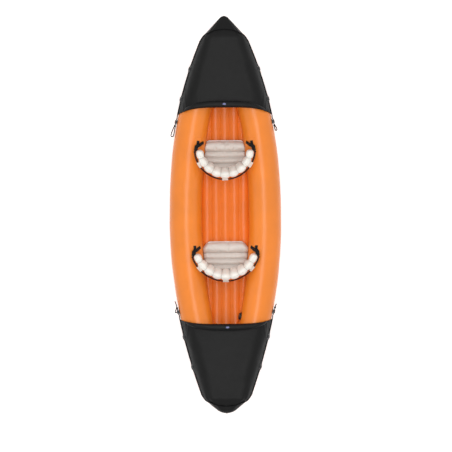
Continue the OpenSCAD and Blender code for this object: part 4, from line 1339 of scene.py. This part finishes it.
def backrest_welds(yh, r):
    """Hold on the cloth near the upright welds between a backrest's cells."""
    def hold(p):
        s, _, _ = backrest_frame(p, yh, r)
        return np.exp(-((np.abs(s - np.round(s)) - 0.5) * CELL_W / 4.5) ** 2) * (np.abs(s) < 4.2)
    return hold


def slim_backrest(p, yh, r):
    """Keeps a swollen backrest clear of the strap behind it and of the tubes."""
    _, d, z = backrest_frame(p, yh, r)
    most = r + BACK_T / 2 + 0.8 - 2.4 * np.exp(-((z - STRAP_Z) / 24) ** 4)
    pull = np.where(d > most, most / np.maximum(d, 1e-6), 1)
    up = lean_back(yh, np.array([[0.0, PAD_Y + r, 0.0], [0.0, PAD_Y + r, 100.0]]))
    rise = unit(up[1] - up[0])
    height = (p - up[0]) @ rise
    axis = up[0] + height[:, None] * rise
    return keep_off_tubes(axis + (p - axis) * pull[:, None], 2.0, (yh, hinge_z()))


def backrest_seam(yh, r):
    """The welded edge that stands along the tops of the cells."""
    s = np.linspace(-HALF_CELLS + 0.06, HALF_CELLS - 0.06, 260)[None]
    w = np.linspace(0, 1, 5)[:, None]
    _, high = cell_edges(s)
    turn = s * CELL_W / r * (1 - 0.025 * smoothstep(3.2, 3.9, np.abs(s)))
    d = r + 1.2 * w * waves(s * CELL_W, 33, 14)
    return thick_sheet(bent(yh, r, turn, d, high - STRIP_LAP + STRIP_H * w), STRIP_T)


class KAYAK_OT_backrests(bpy.types.Operator):
    """Backrests bent round the paddler: nine upright air cells each, swollen between their welds."""
    bl_idname = "kayak.backrests"
    bl_label = "Backrests"

    def execute(self, context):
        cap = context.scene.kayak_sizes.swell
        for name, (yh, r) in SEATS.items():
            points, faces = backrest_mesh(yh, r)
            obj = piece(f"{name}_backrest_pad", points, faces, backrest_film(), f"{name}_back",
                        [f"{name}_backrest"], merge=0.2)
            swell(obj, backrest_welds(yh, r), cap, lambda p, yh=yh, r=r: slim_backrest(p, yh, r))
            # Painted shade: the film's colour darkens near the welds between the cells
            paint_crease_shade(obj, backrest_welds(yh, r))
            points, faces = backrest_seam(yh, r)
            piece(f"{name}_backrest_weld", points, faces, backrest_film(), f"{name}_back")
        return {"FINISHED"}


# Webbing


def strap_end(r):
    """Degrees round a backrest's bend to the end of the band behind it."""
    return STRAP_CELLS * cell_angle(r)


def band_point(yh, r, a, up):
    """A point of the band behind a backrest, a degrees round it and up from its middle line."""
    slope = math.radians(STRAP_TILT)
    a, up = np.broadcast_arrays(np.radians(np.asarray(a, float)), np.asarray(up, float))
    d = r + STRAP_OUT + STRAP_T / 2 - up * math.sin(slope)
    return bent(yh, r, a, d, STRAP_Z + up * math.cos(slope))


def wing_end(s, yh, r):
    return band_point(yh, r, s * (strap_end(r) + 0.5), 0)


def anchor_y(yh, r):
    return float(wing_end(1, yh, r)[1]) + ANCHOR_AHEAD


def anchor_point(s, yh, r):
    """Where an anchor strap lands on its patch."""
    return skin(s, anchor_y(yh, r), ANCHOR_A, PATCH_OFF + PATCH_T + STRAP_T / 2 + 0.8)


def buckle_frame(s, yh, r):
    """Centre of a ladder buckle, and its pull, width and face directions."""
    a, b = wing_end(s, yh, r), anchor_point(s, yh, r)
    d, slope = unit(b - a), math.radians(BUCKLE_TILT)
    v = np.array([-s * math.sin(slope), 0, math.cos(slope)])
    v = unit(v - (v @ d) * d)
    return a + (b - a) * BUCKLE_AT, d, v, s * np.cross(d, v)


def soft_line(route, wide, passes=5):
    """A strap's line and width directions at even steps, with the route's corners eased."""
    p, w = np.asarray(route, float), np.asarray(wide, float)
    run = run_along(p)
    at = np.linspace(0, run[-1], int(run[-1] / STRAP_STEP) + 2)
    rows = np.stack([np.interp(at, run, c) for c in np.hstack([p, w]).T], -1)
    for _ in range(passes):
        rows[1:-1] = (rows[:-2] + 2 * rows[1:-1] + rows[2:]) / 4
    return rows[:, :3], rows[:, 3:]


def wing_strap_line(s, yh, r):
    """From the band's end, up through the buckle's first slot and over its bar."""
    e = strap_end(r)
    a = band_point(yh, r, s * (e + 0.15), 0)
    c, d, v, n = buckle_frame(s, yh, r)
    t = unit(band_point(yh, r, s * (e + 1), 0) - band_point(yh, r, s * (e - 1), 0))
    u = unit(band_point(yh, r, s * e, 1) - band_point(yh, r, s * e, -1))
    # Through the buckle: distance along its pull and height off its face, from its centre
    bars = [(-24, 0), (-17, -4), (-13, -4.2), (-11, 0), (-8.5, 4.2), (-3, 4.4)]
    route = [a, a + t * 9] + [c + d * x + n * z for x, z in bars]
    return soft_line(route, [u, u] + [v] * len(bars), 2)


def anchor_strap_line(s, yh, r):
    """Looped round the buckle's last bar, then flat on its weld patch."""
    c, d, v, n = buckle_frame(s, yh, r)
    e, y = anchor_point(s, yh, r), anchor_y(yh, r)
    b = unit(skin(s, y, ANCHOR_A - 3) - skin(s, y, ANCHOR_A + 3))
    t, out = along(s, y, ANCHOR_A), outward(s, y, ANCHOR_A)
    bars = [(5, -4), (7.5, -3), (8.5, 0), (10.5, 4), (15.5, 4.2), (20, 2)]
    route = [c + d * x + n * z for x, z in bars] + [c + (e - c) * 0.7, e - t * 9 + out * 3, e, e + t * 22]
    return soft_line(route, [v] * len(bars) + [unit(v * 0.3 + b), b, b, b], 2)


def strap_tail_line(s, yh, r):
    """The loose end: out of the buckle, turned over and down on to the tube's inner shoulder."""
    o, d, v, n = buckle_frame(s, yh, r)
    y = anchor_y(yh, r) + 4
    p, e, f = o + n * 6.4, stand_off(s, y, TAIL_A, 4), stand_off(s, y + 7, TAIL_A - 7, 2.4)
    q = (p + e) / 2 + np.array([0, 0, 0.4 * (p[2] - e[2])])
    w = unit(np.cross([0, 0, s], q - p))
    u = s * unit(np.cross(outward(s, y, TAIL_A), e - q))
    route = [o - d * 3 + n * 6.2, p + d * 4 + n * 1.5, p + d * 12 + n * 8, q, e, f]
    return soft_line(route, [v, v, unit(v * 3 + w), w, u, u])


class KAYAK_OT_webbing(bpy.types.Operator):
    """Woven straps: a band behind each backrest, wing straps, anchor straps and loose tails."""
    bl_idname = "kayak.webbing"
    bl_label = "Webbing"

    def execute(self, context):
        for name, (yh, r) in SEATS.items():
            back = f"{name}_back"
            a = np.linspace(-strap_end(r), strap_end(r), 120)
            # About 57 degrees to a radian, so the waves are measured in mm round the bend
            sag = 0.5 * waves(a * r / 57, 90, 17)
            line = band_point(yh, r, a, sag)
            wide = band_point(yh, r, a, 5) - band_point(yh, r, a, -5)
            self.join(f"{name}_band", [(line, wide)], back, [f"{name}_back_strap"])
            hull_rows = (("anchor_webbing", anchor_strap_line, f"{name}_anchor_straps"),
                         ("tail_webbing", strap_tail_line, f"{name}_strap_tails"))
            for label, line_of, node in hull_rows:
                self.join(f"{name}_{label}", [line_of(s, yh, r) for s in (-1, 1)], "hull", [node])
            wings = self.join(f"{name}_wing_webbing", [wing_strap_line(s, yh, r) for s in (-1, 1)], None,
                              [f"{name}_wing_straps"])
            mid_a = (wing_end(1, yh, r) + wing_end(-1, yh, r)) / 2
            mid_c = (buckle_frame(1, yh, r)[0] + buckle_frame(-1, yh, r)[0]) / 2
            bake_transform(wings)
        return {"FINISHED"}

    @staticmethod
    def join(name, lines, body, nodes):
        points, faces, uvs, count = [], [], [], 0
        for line, wide in lines:
            p, f, uv = strap(line, wide)
            points.append(p)
            uvs.append(uv)
            faces += [[int(v) + count for v in face] for face in f]
            count += len(p)
        return piece(name, np.vstack(points), faces, webbing(), body, nodes, uv=np.vstack(uvs))


class KAYAK_OT_anchor_patches(bpy.types.Operator):
    """Round-cornered weld patches under the anchor straps."""
    bl_idname = "kayak.anchor_patches"
    bl_label = "Anchor patches"

    def execute(self, context):
        rho = np.r_[np.linspace(0.04, 0.9, 12), 0.95, 0.98, 1.0, 1.0][:, None]
        q = np.linspace(0, 2 * math.pi, 72, endpoint=False)[None]
        round_off = (np.abs(np.cos(q)) ** 5 + np.abs(np.sin(q)) ** 5) ** -0.2
        lift = np.r_[np.ones(13), 0.85, 0.5, -0.4][:, None] * (PATCH_OFF + PATCH_T)
        for name, (yh, r) in SEATS.items():
            points, faces = [], []
            for i, s in enumerate((-1, 1)):
                y = anchor_y(yh, r) + PATCH_AHEAD + PATCH_HALF * rho * round_off * np.cos(q)
                a = ANCHOR_A + PATCH_HALF_A * rho * round_off * np.sin(q)
                grid = skin(s, y, a, lift + 0 * q)
                m, n = grid.shape[:2]
                points.append(grid.reshape(-1, 3))
                faces += [*grid_faces(m, n, i * m * n, wrap=True), i * m * n + np.arange(n)]
            piece(f"{name}_weld_patches", np.vstack(points), faces, tube_pvc(), "hull",
                  [f"{name}_anchor_patches"])
        return {"FINISHED"}


# Stitching


def stitch_tree(material):
    """Geometry Nodes: short threads laid end to end along a curve."""
    tree = bpy.data.node_groups.new("Stitch row", "GeometryNodeTree")
    sockets = {}
    tree.interface.new_socket("Geometry", in_out="INPUT", socket_type="NodeSocketGeometry")
    for name, value in (("Pitch", 6 * MM), ("Thread length", 4 * MM), ("Thread radius", 0.5 * MM)):
        socket = tree.interface.new_socket(name, in_out="INPUT", socket_type="NodeSocketFloat")
        socket.default_value = value
        sockets[name] = socket.identifier
    tree.interface.new_socket("Geometry", in_out="OUTPUT", socket_type="NodeSocketGeometry")
    source = add(tree, "NodeGroupInput").outputs
    spots = add(tree, "GeometryNodeCurveToPoints", {"Curve": source["Geometry"], "Length": source["Pitch"]},
                mode="LENGTH")
    thread = add(tree, "GeometryNodeMeshCylinder", {"Vertices": 6, "Radius": source["Thread radius"],
                                                    "Depth": source["Thread length"]})
    laid = add(tree, "GeometryNodeInstanceOnPoints", {"Points": spots.outputs["Points"],
                                                      "Instance": thread.outputs["Mesh"],
                                                      "Rotation": spots.outputs["Rotation"]})
    real = add(tree, "GeometryNodeRealizeInstances", {"Geometry": laid.outputs["Instances"]})
    done = add(tree, "GeometryNodeSetMaterial", {"Geometry": real.outputs["Geometry"],
                                                 "Material": material})
    add(tree, "NodeGroupOutput", {"Geometry": done.outputs["Geometry"]})
    return tree, sockets


def stitch_lines():
    """Dark seams, on the covers' edges and the anchor straps, and the pale ones on the covers' sides."""
    lines, sides = [], []
    fold = bpy.context.scene.kayak_sizes.fold / MM
    for s, _, hem in ENDS:
        grid = cover_grid(s, hem, fold)
        out = normals(grid if s < 0 else grid[:, ::-1])
        out = out if s < 0 else out[:, ::-1]
        raised = grid + out * THREAD_LIFT
        lines += [raised[row] for row in HEM_ROWS]
        lines += [raised[SEAM_ROWS, column] for column in EDGE_COLUMNS]
        sides += [raised[SEAM_ROWS, column] for column in SEAM_COLUMNS]
    for yh, r in SEATS.values():
        for s in (-1, 1):
            y = anchor_y(yh, r)
            e, t, n = anchor_point(s, yh, r), along(s, y, ANCHOR_A), outward(s, y, ANCHOR_A)
            b = unit(skin(s, y, ANCHOR_A + 3) - skin(s, y, ANCHOR_A - 3))
            top = e + n * (STRAP_T / 2 + 0.2)
            lines.append(np.array([top + t * x + b * w for x, w in BOX_STITCH]))
    return lines, sides


class KAYAK_OT_stitching(bpy.types.Operator):
    """Lockstitched seams on the covers' hems, edges and sides and on the anchor straps."""
    bl_idname = "kayak.stitching"
    bl_label = "Stitching"

    def execute(self, context):
        lines, sides = stitch_lines()
        # Twisted thread, as even and dull as a rough moulding at this size
        black = made("polyester_thread", moulded, srgb("#3A3A3C"), roughness=0.7)
        grey = made("grey_polyester_thread", moulded, srgb("#8C8278"), roughness=0.7)
        self.sew(context, "hull_stitching", lines, black, 0.5 * MM)
        self.sew(context, "side_stitching", sides, grey, 0.7 * MM)
        return {"FINISHED"}

    @staticmethod
    def sew(context, name, lines, thread, radius):
        curve = bpy.data.curves.new("seam_lines", "CURVE")
        curve.dimensions = "3D"
        for line in lines:
            spline = curve.splines.new("POLY")
            spline.points.add(len(line) - 1)
            spline.points.foreach_set("co", np.c_[line * MM, np.ones(len(line))].ravel())
        obj = linked("seam_lines", curve)
        tree, sockets = stitch_tree(thread)
        modifier = obj.modifiers.new("stitches", "NODES")
        modifier.node_group = tree
        pitch = context.scene.kayak_sizes.stitch
        modifier[sockets["Pitch"]] = pitch
        modifier[sockets["Thread length"]] = pitch * THREAD_SHARE
        modifier[sockets["Thread radius"]] = radius
        mesh = bpy.data.meshes.new_from_object(obj.evaluated_get(context.evaluated_depsgraph_get()))
        bpy.data.objects.remove(obj)
        seat(linked(name, mesh), "hull", ())
        if not mesh.polygons:
            raise RuntimeError(f"{name} has no stitches")


# Hardware kept from the CAD


class KAYAK_OT_hardware(bpy.types.Operator):
    """Finishes of the moulded and welded CAD pieces, with the hard ones' edges eased."""
    bl_idname = "kayak.hardware"
    bl_label = "Hardware"

    def execute(self, context):
        # Hard black mouldings, a matt rubbery flap, and soft vinyl that lets some light through
        nylon = made("moulded_black_nylon", moulded, srgb("#17171A"), roughness=0.42)
        valve = made("moulded_black_pvc_valve", moulded, srgb("#1B1B1E"), roughness=0.38)
        silicone = made("grey_silicone_flap", moulded, srgb("#B9B7B2"), roughness=0.5, ior=1.43)
        vinyl = made("clear_soft_vinyl", moulded, srgb("#6A70B0"), roughness=0.26, ior=1.5,
                     transmission=0.3)
        finishes = {}
        for end in ("bow", "stern"):
            finishes.update({f"{end}_line_eyelets": nylon, f"{end}_buckles": nylon,
                             f"{end}_strap_keepers": backrest_film(), f"{end}_hinge_flap": backrest_film(),
                             f"{end}_keel_strip": tube_pvc()})
            for pad in ("roll", "cushion", "back"):
                finishes.update({f"{end}_{pad}_stem": vinyl, f"{end}_{pad}_plug": vinyl})
        for place in ("right", "left", "floor"):
            finishes.update({f"{place}_valve_seat": valve, f"{place}_valve_insert": valve,
                             f"{place}_valve_cap": valve})
        finishes.update({"line_tie_offs": nylon, "valve_flaps": silicone, "floor_webs": floor_pvc()})
        for node, material in finishes.items():
            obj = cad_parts[node]
            obj.data.materials.clear()
            obj.data.materials.append(material)
            if material in (nylon, valve):
                ease = obj.modifiers.new("eased edges", "BEVEL")
                ease.width = 0.5 * MM
                ease.segments = 2
                ease.limit_method = "ANGLE"
                ease.angle_limit = math.radians(40)
                ease.use_clamp_overlap = True
        return {"FINISHED"}


# Stage


class KAYAK_OT_stage(bpy.types.Operator):
    """White floor, soft light from above and the photograph's camera."""
    bl_idname = "kayak.stage"
    bl_label = "Stage"

    def execute(self, context):
        scene = context.scene
        scene.view_settings.view_transform = "Standard"
        self.camera(scene)
        self.floor()
        self.world(scene)
        for name, place, size, power in LAMPS:
            lamp = bpy.data.lights.new(name, "AREA")
            lamp.shape = "RECTANGLE"
            lamp.size, lamp.size_y = size
            lamp.energy = power
            obj = linked(name, lamp)
            obj.location = place
            obj.rotation_euler = (0, math.atan2(place[0], place[2] - LAMP_AIM_Z), 0)
            obj.visible_camera = False
        return {"FINISHED"}

    @staticmethod
    def camera(scene):
        data = bpy.data.cameras.new("photo_camera")
        wide = PHOTO_SIDE * MM_PER_PIXEL
        data.sensor_width = SENSOR_W
        data.lens = SENSOR_W * VIEW_DISTANCE / wide
        data.clip_end = 100
        camera = linked("photo_camera", data)
        camera.location = (VIEW_CENTRE[0] * MM, VIEW_CENTRE[1] * MM, (VIEW_DISTANCE + VIEW_PLANE) * MM)
        camera.rotation_euler = (0, 0, math.radians(VIEW_ROLL))
        scene.camera = camera

    @staticmethod
    def light_path(tree):
        """1 where a ray comes from the camera, a reflection or through glass."""
        path = add(tree, "ShaderNodeLightPath").outputs
        seen = add(tree, "ShaderNodeMath", {0: path["Is Camera Ray"], 1: path["Is Glossy Ray"]},
                   operation="MAXIMUM")
        return add(tree, "ShaderNodeMath", {0: seen.outputs[0], 1: path["Is Transmission Ray"]},
                   operation="MAXIMUM").outputs[0]

    def floor(self):
        mesh = bpy.data.meshes.new("studio_floor")
        corners = ((-1, -1), (1, -1), (1, 1), (-1, 1))
        mesh.from_pydata([(x * FLOOR_HALF, y * FLOOR_HALF, 0) for x, y in corners], [], [(0, 1, 2, 3)])
        mesh.materials.append(made("white_paper_floor", self.paper, srgb("#F4F4F4")))
        linked("studio_floor", mesh)

    @classmethod
    def paper(cls, tree, base):
        """Matt white paper, lifted towards white where it is seen, with the hull's shadow kept."""
        lift = add(tree, "ShaderNodeMath", {0: cls.light_path(tree), 1: PAPER_LIFT}, operation="MULTIPLY")
        return {"Base Color": base, "Roughness": 0.9, "Emission Color": WHITE,
                "Emission Strength": lift.outputs[0]}

    def world(self, scene):
        world = bpy.data.worlds.new("studio")
        world.use_nodes = True
        scene.world = world
        tree = world.node_tree
        level = add(tree, "ShaderNodeMapRange", {"Value": self.light_path(tree), 3: ROOM_LIGHT, 4: 1.0})
        feed(tree, tree.nodes["Background"], {"Color": WHITE, "Strength": level.outputs[0]})


class KAYAK_PT_panel(bpy.types.Panel):
    """Lists the kayak's groups of pieces."""
    bl_label = "Kayak"
    bl_idname = "KAYAK_PT_panel"
    bl_space_type = "VIEW_3D"
    bl_region_type = "UI"
    bl_category = "Kayak"

    def draw(self, context):
        for group in (context.scene.kayak_colours, context.scene.kayak_sizes):
            for name in group.__annotations__:
                self.layout.prop(group, name)
        for operator in OPERATORS:
            self.layout.operator(operator.bl_idname)


GROUPS = (KayakColours, KayakSizes)
OPERATORS = (KAYAK_OT_stage, KAYAK_OT_grab_lines, KAYAK_OT_chambers, KAYAK_OT_floor, KAYAK_OT_covers,
             KAYAK_OT_splash_rolls, KAYAK_OT_cushions, KAYAK_OT_backrests, KAYAK_OT_anchor_patches,
             KAYAK_OT_webbing, KAYAK_OT_stitching, KAYAK_OT_hardware)


def register():
    for item in GROUPS + OPERATORS + (KAYAK_PT_panel,):
        bpy.utils.register_class(item)
    bpy.types.Scene.kayak_colours = PointerProperty(type=KayakColours)
    bpy.types.Scene.kayak_sizes = PointerProperty(type=KayakSizes)


def unregister():
    del bpy.types.Scene.kayak_sizes
    del bpy.types.Scene.kayak_colours
    for item in reversed(GROUPS + OPERATORS + (KAYAK_PT_panel,)):
        bpy.utils.unregister_class(item)


def main():
    register()
    for operator in OPERATORS:
        group, name = operator.bl_idname.split(".")
        getattr(getattr(bpy.ops, group), name)()


if __name__ == "__main__":
    main()
